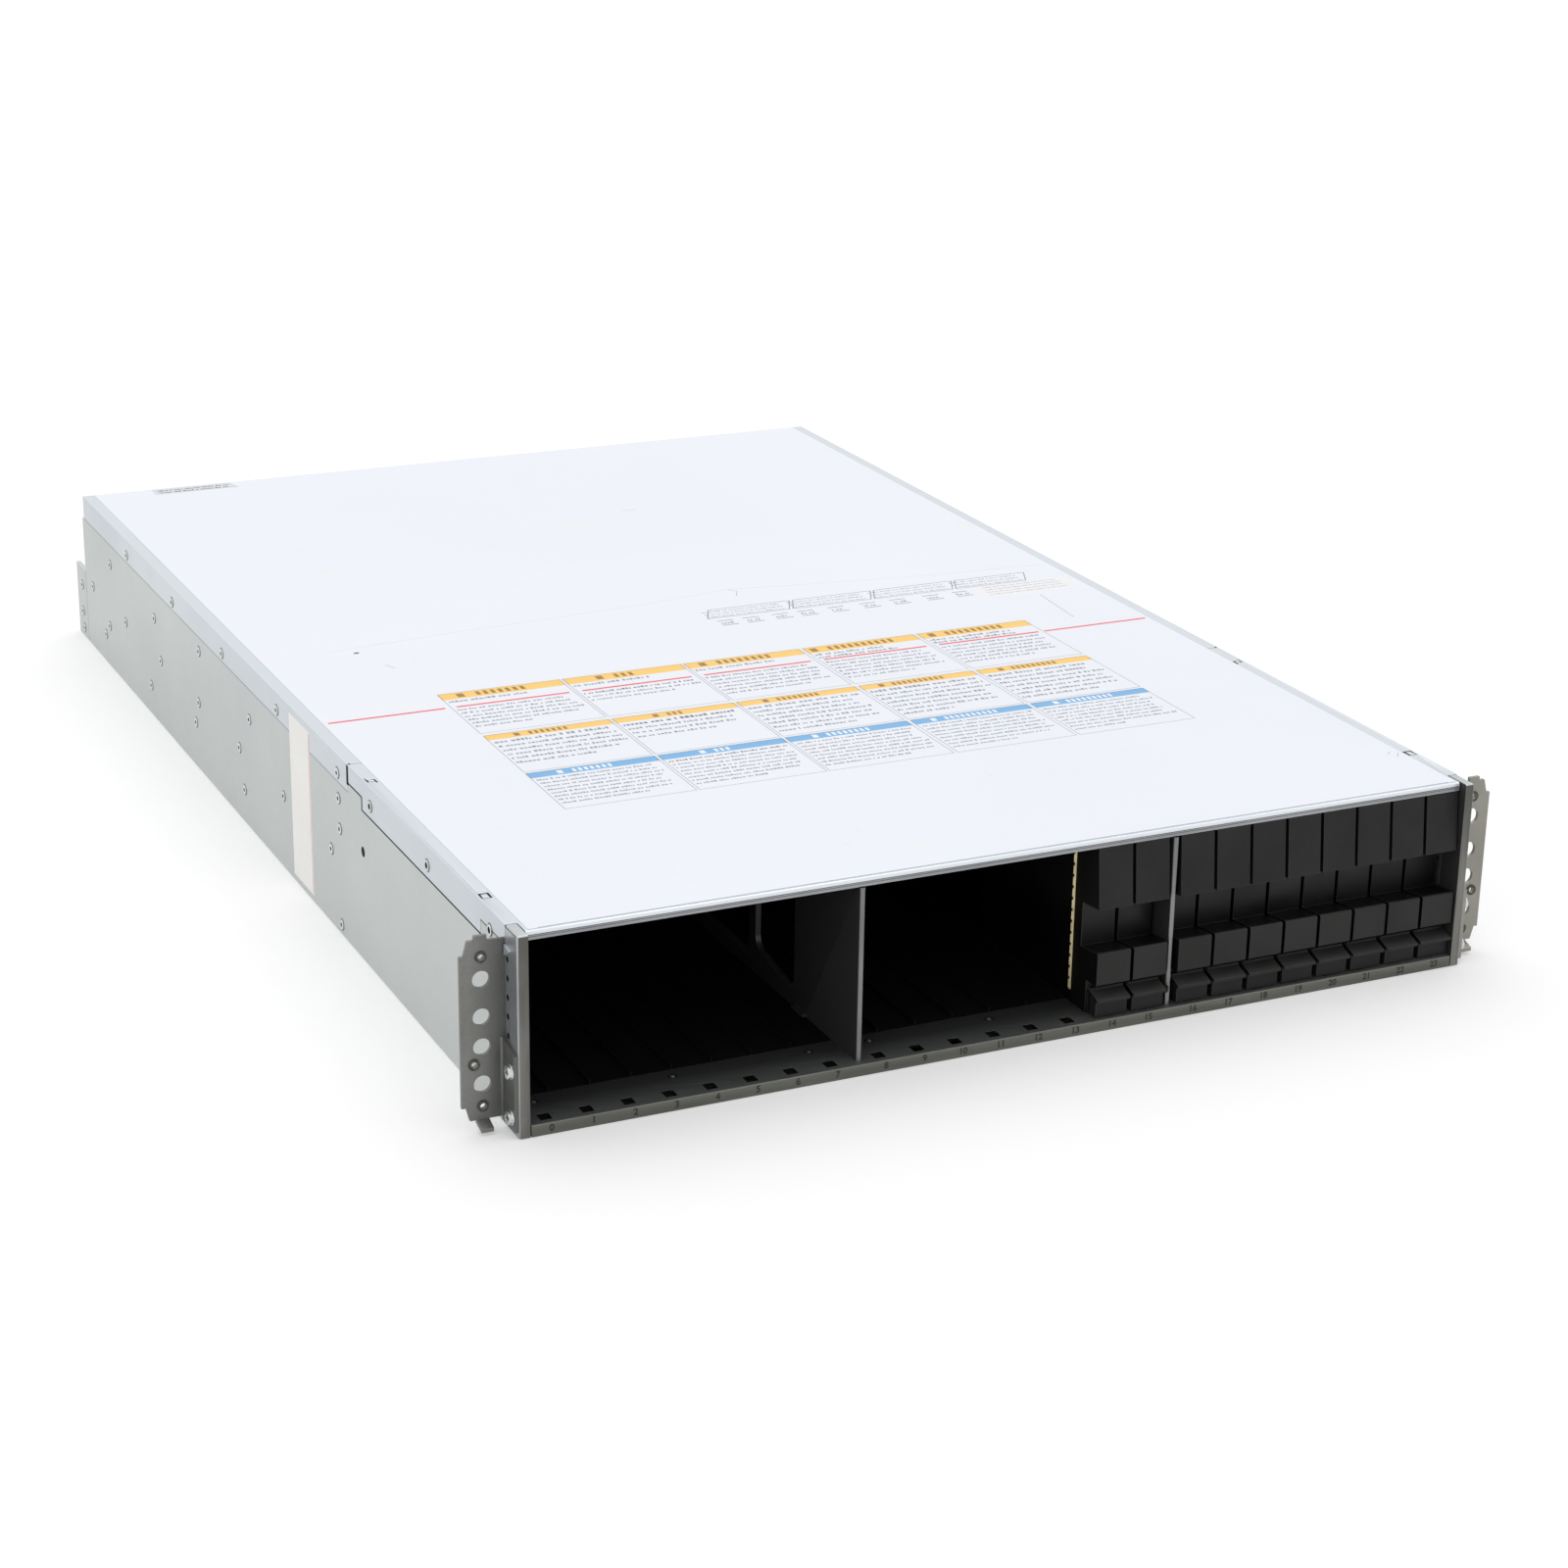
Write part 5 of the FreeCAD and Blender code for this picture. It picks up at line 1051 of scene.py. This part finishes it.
def mesh_from(work, name):
    """A mesh with the faces of a worked one, which is given up."""
    mesh = bpy.data.meshes.new(name)
    work.to_mesh(mesh)
    work.free()
    return mesh


work = bmesh.new()
for bay in range(BAYS):
    curve = bpy.data.curves.new("digits", "FONT")
    curve.body = str(bay)
    curve.size = DIGIT_TALL / FONT_SHARE
    curve.align_x = curve.align_y = "CENTER"
    curve.extrude = DIGIT_RISE
    curve.offset = DIGIT_STROKE
    curve.resolution_u = 4
    holder = bpy.data.objects.new("digits", curve)
    digits = bpy.data.meshes.new_from_object(holder)
    digits.transform(Matrix.Translation((bay_x(bay), front, DIGIT_LIFT)) @ UPRIGHT)
    work.from_mesh(digits)
    bpy.data.objects.remove(holder)
    bpy.data.meshes.remove(digits)
link_piece("bay_numbers", mesh_from(work, "bay_numbers"), "chassis", "sill_steel", [INKS["black"]])
print("bay numbers:", BAYS)

# %% Seal tape and the joint behind it
WALLS = (("left", -1), ("right", 1))
TAPE_TOP, TAPE_THICK = mm(82.4, 0.1)
JOINT_LOW, JOINT_HIGH, JOINT_RISE, JOINT_INSET = mm(-0.1, 0.6, 0.015, 0.5)
# the red line and the fold beside it, a pale line of painted shade, counted from the tape's front edge
RED_LEFT, RED_RIGHT, FOLD_LEFT, FOLD_RIGHT = mm(1.6, 1.1, 0.4, 0.1)

tape_low, tape_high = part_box("side_tape")
on_tape = Vector((tape_low.x, 0, 0))
red_line = rectangle(-tape_low.y - RED_LEFT, -tape_low.y - RED_RIGHT, tape_low.z + MM, TAPE_TOP - MM)
fold_line = rectangle(-tape_low.y - FOLD_LEFT, -tape_low.y - FOLD_RIGHT, tape_low.z, TAPE_TOP)
plates("tape_line", "chassis", "seal_tape", [INKS["red"], INKS["pale"]],
       [plate("left", on_tape, red_line, INK_RISE), plate("left", on_tape, fold_line, INK_RISE, 1)])
tape_end = rectangle(-tape_high.y, -tape_low.y, tape_high.z, TAPE_TOP)
plates("tape_end", "chassis", "seal_tape", [tape_white],
       [plate("left", Vector((plate_left, 0, 0)), tape_end, TAPE_THICK)])

cover_low, cover_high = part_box("rear_top_cover")
joints = []
for side, sign in WALLS:
    ends = sorted((sign * (cover_low.y + JOINT_INSET), sign * (cover_high.y - JOINT_INSET)))
    joint = rectangle(*ends, tape_high.z + JOINT_LOW, tape_high.z + JOINT_HIGH)
    joints.append(plate(side, Vector((sign * plate_right, 0, 0)), joint, JOINT_RISE))
plates("rear_joints", "chassis", "plain_steel", [joint_steel], joints)

# %% Hem fold and tabs
# two thin dark lines of painted shade in the hem's fold, their low and high edges in millimetres
HEM_LINES = ((83.8, 84.05), (83.05, 83.3))
POST_TAB = ((-12.6, 73.5), (-6.8, 77), (-12.6, 78))
NOSE_TAB = ((-3.4, 10.8), (-0.6, 12.2), (-0.6, 15.2), (-3.4, 14.6))
POST_TAB_RISE, NOSE_TAB_RISE = mm(0.9, 0.5)

hem_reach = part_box("floor_sill")[1].x - MM
hem_origin = Vector((0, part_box("front_top_cover")[0].y, 0))
plates("hem_fold", "chassis", "cover_steel", [tap_steel],
       [plate("front", hem_origin, rectangle(-hem_reach, hem_reach, low * MM, high * MM), INK_RISE)
        for low, high in HEM_LINES])
plates("post_tab", "chassis", "plain_steel", [cover_steel],
       [plate("left", Vector((plate_left, front, 0)), in_mm(POST_TAB), POST_TAB_RISE)])
divider_x = bay_x(2 * BAYS_PER_GROUP) - bay_pitch / 2 - divider_room / 2 - STEEL
plates("divider_tab", "chassis", "divider_steel", [tab_bronze],
       [plate("left", Vector((divider_x, front, 0)), in_mm(NOSE_TAB), NOSE_TAB_RISE)])

# %% [markdown]
# ## Dark seams
# Where two sheets meet, the gap between them shows as a black line, since no light comes back out of it.
# The line along the stepped flange of the front cover, the row of holes in a post's flank and the space
# under the sill's landing are all drawn as thin black plates just on or behind the metal.

# %% Seams, holes and the space under the sill
SEAM, SPLIT_SEAM, SEAM_RISE = mm(1.4, 2.8, 0.02)
FLANGE_STEP, FLANGE_LOW, SEAM_TOP = 77.7 * MM, 71.7 * MM, film_top - 0.6 * MM
FLANGE_FRONT, FLANGE_REAR, COVER_TAIL = mm(41, 190.5, 210.2)
SEAM_PATH = ((FLANGE_FRONT, FLANGE_LOW), (FLANGE_REAR, FLANGE_LOW), (FLANGE_REAR, FLANGE_STEP),
             (COVER_TAIL, FLANGE_STEP), (COVER_TAIL, SEAM_TOP))
# holes as their place behind the front, their height and their radius, in millimetres
HOLES = [(11, 39.9 + 8.1 * k, 1.3) for k in range(5)] + [(190.6, 52.0, 2.4)]
# dark marks on top of the covers beside the film, painted shade in small slots: inner and outer edge, then
# how far behind the front
TOP_MARKS = ((217.0, 217.8, 183.8, 188.2), (217.8, 219.2, 187.6, 188.2), (220.3, 221.1, 186.2, 188.0),
             (220.9, 221.9, 209.8, 211.2), (217.0, 218.0, 41.5, 46.9), (217.0, 221.4, 46.0, 46.9),
             (220.5, 221.4, 44.9, 46.9))


def circle(across, up, radius, count=20):
    turns = [2 * math.pi * k / count for k in range(count)]
    return [(across + radius * math.cos(t), up + radius * math.sin(t)) for t in turns]


seams = []
cover_face = Vector((0, front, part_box("front_top_cover")[1].z))
for side, sign in WALLS:
    wall = Vector((sign * plate_right, front, 0))
    for (y0, z0), (y1, z1) in zip(SEAM_PATH, SEAM_PATH[1:]):
        left, right = sorted((sign * y0, sign * y1))
        low, high = sorted((z0, z1))
        half = (SPLIT_SEAM if y0 == y1 == COVER_TAIL else SEAM) / 2
        seams.append(plate(side, wall, rectangle(left - half, right + half, low - half, high), SEAM_RISE))
    for behind, up, radius in HOLES:
        seams.append(plate(side, wall, circle(*mm(sign * behind, up, radius)), SEAM_RISE))
    for near, far, y0, y1 in TOP_MARKS:
        left, right = sorted((sign * near, sign * far))
        seams.append(plate("top", cover_face, rectangle(*mm(left, right, y0, y1)), SEAM_RISE))
plates("dark_seams", "chassis", "plain_steel", [black_and_shade], seams)

SHADE_INSET, SHADE_REAR, SHADE_GAP, SHADE_THICK = mm(2, 22, 0.5, 0.3)
sill_low, sill_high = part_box("floor_sill")
under = rectangle(sill_low.x + SHADE_INSET, sill_high.x - SHADE_INSET, SHADE_INSET, SHADE_REAR)
plates("sill_shade", "chassis", "black_plastic", [black_and_shade],
       [plate("top", Vector((0, front, sill_top - STEEL - SHADE_GAP)), under, SHADE_THICK)])

# %% [markdown]
# ## Round details
# Clinch joints, rivet shadows, lamps and thumb screws are turned like lathe parts: a half section spun
# round an axis. Five shallow clinch joints hold the sill to the floor, each a ring dark with painted shade
# and a bright dome in its middle. Every rivet sits in a thin grey ring of painted shadow, and its hollow
# middle is painted black as shade.

# %% Lathe tool
def lathe(work, section, place, axis, count=24):
    """Spins a half section, given as (radius, rise) from its rim to its middle, and closes it."""
    turn = axis.to_track_quat("Z", "Y").to_matrix()
    rings = []
    for radius, rise in section:
        if radius == 0:
            rings.append([work.verts.new(place + turn @ Vector((0, 0, rise)))])
            continue
        rings.append([work.verts.new(place + turn @ Vector((x, y, rise)))
                      for x, y in circle(0, 0, radius, count)])
    for outer, inner in zip(rings, rings[1:]):
        for k in range(count):
            after = (k + 1) % count
            if len(inner) == 1:
                work.faces.new((outer[k], outer[after], inner[0]))
            else:
                work.faces.new((outer[k], outer[after], inner[after], inner[k]))
    work.faces.new(list(reversed(rings[0])))


def turned(name, body, slot, finishes, section, places, axis, band=0, count=24):
    """One piece of several equal lathe parts. The second finish paints the faces inside the band."""
    work = bmesh.new()
    for place in places:
        first = len(work.faces)
        lathe(work, section, Vector(place), axis, count)
        work.faces.ensure_lookup_table()
        for face in work.faces[first:]:
            offset = face.calc_center_median() - Vector(place)
            reach = (offset - offset.dot(axis) * axis).length
            face.smooth = len(face.verts) < 5
            face.material_index = int(reach < band)
    mesh = mesh_from(work, name)
    mesh.set_sharp_from_angle(angle=SHARP)
    print(name, len(places))
    link_piece(name, mesh, body, slot, finishes)


print("lathe tool ready")

# %% Clinch joints: each ring dark with painted shade, round a bright dome
CLINCH = in_mm([(2.1, 0), (2.0, 0.12), (1.3, 0.12), (1.1, 0.04), (0.8, 0.3), (0.4, 0.4), (0, 0.42)])
CLINCH_X, CLINCH_BEHIND, DOME = (-209, -149, -88, -60.5, -4), 20 * MM, 1.1 * MM
clinch_places = [(x * MM, front + CLINCH_BEHIND, sill_top) for x in CLINCH_X]
turned("sill_clinches", "chassis", "sill_steel", [rivet_hollow, lip_steel], CLINCH, clinch_places,
       SIDES["top"][2], DOME)

# %% Rivet shadows and hollows, painted shade round and inside the rivets
RIVET_SHADOW, RIVET_PIT, FLANGE_PIT = (in_mm([(radius, 0), (radius, 0.02), (0, 0.02)])
                                    for radius in (3.0, 1.0, 1.45))
head_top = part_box("body_rivets")[1].x
rivet_middles = loose_middles(nodes["body_rivets"].data)
for side, sign in WALLS:
    middles = [spot for spot in rivet_middles if spot.x * sign > 0]
    on_plate = [Vector((sign * plate_right, spot.y, spot.z)) for spot in middles]
    on_head = [Vector((sign * head_top, spot.y, spot.z)) for spot in middles]
    on_flange = [spot for spot in on_head if spot.z > FLANGE_LOW and spot.y < front + FLANGE_REAR]
    on_wall = [spot for spot in on_head if spot not in on_flange]
    way = SIDES[side][2]
    turned(f"{side}_rivet_rims", "chassis", "plain_steel", [rivet_rim], RIVET_SHADOW, on_plate, way)
    for name, section, spots in (("rivet", RIVET_PIT, on_wall), ("flange", FLANGE_PIT, on_flange)):
        turned(f"{side}_{name}_pits", "chassis", "zinc_screw", [black_and_shade], section, spots, way, count=16)

# %% [markdown]
# ## Toe of each blank
# Below its ledge a blank ends in a small toe that reaches forward over the latch hole, close behind the
# lip. It's moulded with the blank and slides with it. Its form is a plain block, so one thick plate
# makes it, and a bevel rounds its edges as the mould does.

# %% Blank toes
TOE_FRONT, TOE_REAR, TOE_TOP, TOE_INSET, TOE_ROUND = mm(2.7, 6.9, 13.3, 1.2, 0.2)
toe_origin = Vector((0, front + TOE_REAR, 0))
for bay in range(FIRST_BLANK, BAYS):
    low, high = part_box(f"drive_blank_{bay}")
    toe = rectangle(low.x + TOE_INSET, high.x, low.z, TOE_TOP)
    piece = plates(f"drive_blank_{bay}_toe", f"blank_{bay}", "blank_plastic", [blank_plastic, blank_edge],
                   [plate("front", toe_origin, toe, TOE_REAR - TOE_FRONT)])
    soft = piece.modifiers.new("edge_round", "BEVEL")
    soft.width, soft.segments, soft.harden_normals, soft.material = TOE_ROUND, 2, True, 1

# %% [markdown]
# ## Rear of the modules
# The rear is what a technician sees: ports in metal cages, small status lamps, thumb screws at the ends
# and honeycomb vents. They are thin pieces on the flat rear faces of the modules, and each rides on its
# own module, so a module takes them along when it slides out. They stay clear of the levers' swing.
# A vent could be a picture with see-through holes, but real holes look right from the side too. Each
# hexagon is a ring of faces that meets its neighbours, and a modifier gives the sheet its thickness.

# %% Honeycomb vent
HEX_PITCH, HEX_WALL, HEX_WELD = mm(4.2, 0.8, 0.01)
VENT_WALL, VENT_RIM, VENT_RIM_RISE, VENT_BACK, VENT_INSET = mm(0.5, 1.6, 0.8, 0.1, 0.5)


def ring(left, right, low, high, wall):
    """Four bars just inside a rectangle: the lower, the upper, the left and the right one."""
    return [rectangle(left, right, low, low + wall), rectangle(left, right, high - wall, high),
            rectangle(left, left + wall, low + wall, high - wall),
            rectangle(right - wall, right, low + wall, high - wall)]


def vent(name, body, slot, x0, x1, low, high):
    """A plate of hexagonal holes in a plain rim, over a black backing of painted shade."""
    left, right = -x1, -x0
    origin = Vector((0, module_back, 0))
    step_up = HEX_PITCH * math.sqrt(3) / 2
    columns = int((right - left - 2 * VENT_RIM) / HEX_PITCH - 0.5)
    rows = int((high - low - 2 * VENT_RIM) / step_up)
    first_across = (left + right) / 2 - (columns - 0.5) * HEX_PITCH / 2
    first_up = (low + high) / 2 - (rows - 1) * step_up / 2
    work = bmesh.new()
    for row in range(rows):
        for column in range(columns):
            across = first_across + (column + 0.5 * (row % 2)) * HEX_PITCH
            up = first_up + row * step_up
            rings = []
            for wide in (HEX_PITCH, HEX_PITCH - HEX_WALL):
                radius = wide / math.sqrt(3)
                turns = [k * math.pi / 3 for k in range(6)]
                spots = [(across + radius * math.sin(t), up + radius * math.cos(t)) for t in turns]
                rings.append([work.verts.new(p) for p in outline_on("rear", origin, spots)])
            outer, inner = rings
            for k in range(6):
                after = (k + 1) % 6
                work.faces.new((outer[after], outer[k], inner[k], inner[after]))
    bmesh.ops.remove_doubles(work, verts=work.verts, dist=HEX_WELD)
    bmesh.ops.recalc_face_normals(work, faces=work.faces)
    comb = link_piece(f"{name}_comb", mesh_from(work, f"{name}_mesh"), body, slot, [case_steel])
    solid = comb.modifiers.new("sheet", "SOLIDIFY")
    solid.thickness = VENT_WALL
    solid.offset = 0
    comb.data.transform(Matrix.Translation((0, VENT_WALL, 0)))
    inside = rectangle(left + VENT_INSET, right - VENT_INSET, low + VENT_INSET, high - VENT_INSET)
    rim = [plate("rear", origin, bar, VENT_RIM_RISE, 1) for bar in ring(left, right, low, high, VENT_RIM)]
    plates(f"{name}_rim", body, slot, [black_and_shade, cover_steel],
           [plate("rear", origin, inside, VENT_BACK), *rim])


print("vent tool ready")

# %% [markdown]
# A port is a cage of thin sheet round a plastic tongue that carries gilt contacts. The CAD case has the
# opening already, so nothing is cut here: plates of different depths line it, from its floor outwards.

# %% Port cage
PORT_HALF, PORT_LOW, PORT_HIGH, PORT_DEPTH = mm(9, 6.2, 15.2, 11)
PORT_RIM, PORT_RIM_RISE, PORT_WALL, PORT_FLOOR = mm(1.0, 0.6, 0.3, 1.0)
TONGUE_HALF, TONGUE_LOW, TONGUE_HIGH, TONGUE_LONG = mm(6, 10, 11.4, 7.5)
PINS, PIN_PITCH, PIN_HALF, PIN_THICK, PIN_LONG = 9, 1.2 * MM, 0.3 * MM, 0.15 * MM, 7.2 * MM


def port_cage(middle, foot):
    """The metal rim and walls of a port, its dark floor and tongue, and its gilt pins."""
    left, right = -middle - PORT_HALF, -middle + PORT_HALF
    deep = foot - PORT_DEPTH * SIDES["rear"][2]
    outside = (left - PORT_RIM, right + PORT_RIM, PORT_LOW - PORT_RIM, PORT_HIGH + PORT_RIM)
    cage = [plate("rear", foot, bar, PORT_RIM_RISE) for bar in ring(*outside, PORT_RIM)]
    cage += [plate("rear", deep, bar, PORT_DEPTH)
             for bar in ring(left, right, PORT_LOW, PORT_HIGH, PORT_WALL)]
    floor = rectangle(left + PORT_WALL, right - PORT_WALL, PORT_LOW + PORT_WALL, PORT_HIGH - PORT_WALL)
    tongue = rectangle(-middle - TONGUE_HALF, -middle + TONGUE_HALF, TONGUE_LOW, TONGUE_HIGH)
    cage += [plate("rear", deep, floor, PORT_FLOOR, 1), plate("rear", deep, tongue, TONGUE_LONG, 1)]
    for k in range(PINS):
        pin = -middle + (k - PINS // 2) * PIN_PITCH
        strip = rectangle(pin - PIN_HALF, pin + PIN_HALF, TONGUE_HIGH, TONGUE_HIGH + PIN_THICK)
        cage.append(plate("rear", deep, strip, PIN_LONG, 2))
    return cage


print("port tool ready")

# %% Dress each module
LAMP = in_mm([(1.2, 0), (1.2, 0.3), (0.9, 0.7), (0, 0.9)])
THUMB = in_mm([(3.4, 0), (3.4, 0.6), (2.9, 0.8), (2.9, 3.6), (2.5, 4.0), (1.6, 4.0), (1.4, 3.5), (0, 3.5)])
THUMB_CROSS = 1.5 * MM
openings = frame["record"]["physics"]["openings"]
port_boxes = [opening["box_m"] for opening in openings if opening["name"].startswith("io_lower_port")]
PORTS = [(low[0] + high[0]) / 2 for low, high in port_boxes]
# in millimetres: each vent's name, left and right, low and high; a lamp or screw's place and height
VENTS = {"io": (("wide", -90, 54, 21.5, 37), ("side", 62, 206, 26.5, 37), ("low", 62, 206, 2.5, 13)),
         "psu": (("top", -171, -138, 26.5, 37), ("low", -171, -138, 2.5, 13))}
LAMPS = {"io": [(middle / MM + aside, 18.6) for middle in PORTS for aside in (-5, 5)],
         "psu": [(-129, 34.5), (-121, 34.5), (-113, 34.5)]}
LAMP_FINISH = {"io": lamp_green, "psu": lamp_amber}
SCREWS = ((-95.5, 30), (214, 19.8))
rear_way = SIDES["rear"][2]

for level in ("lower", "upper"):
    foot = Vector((0, module_back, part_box(f"io_{level}_case")[0].z))
    for kind in ("io", "psu"):
        module = f"{kind}_{level}"
        slot = SLOT_OF[f"{module}_case"]
        for name, x0, x1, low, high in VENTS[kind]:
            vent(f"{module}_{name}_vent", module, slot, *mm(x0, x1), *(foot.z + up for up in mm(low, high)))
        if kind == "io":
            cages = [shape for middle in PORTS for shape in port_cage(middle, foot)]
            plates(f"{module}_port_cages", module, slot, [zinc, black_plastic, port_gold], cages)
        lamps = [foot + Vector((x, 0, up)) for x, up in in_mm(LAMPS[kind])]
        turned(f"{module}_lamps", module, slot, [LAMP_FINISH[kind]], LAMP, lamps, rear_way, count=16)
        if kind == "io":
            screws = [foot + Vector((x, 0, up)) for x, up in in_mm(SCREWS)]
            turned(f"{module}_thumb_screws", module, slot, [zinc, rivet_hollow], THUMB, screws, rear_way,
                   THUMB_CROSS, 28)
print("modules dressed")
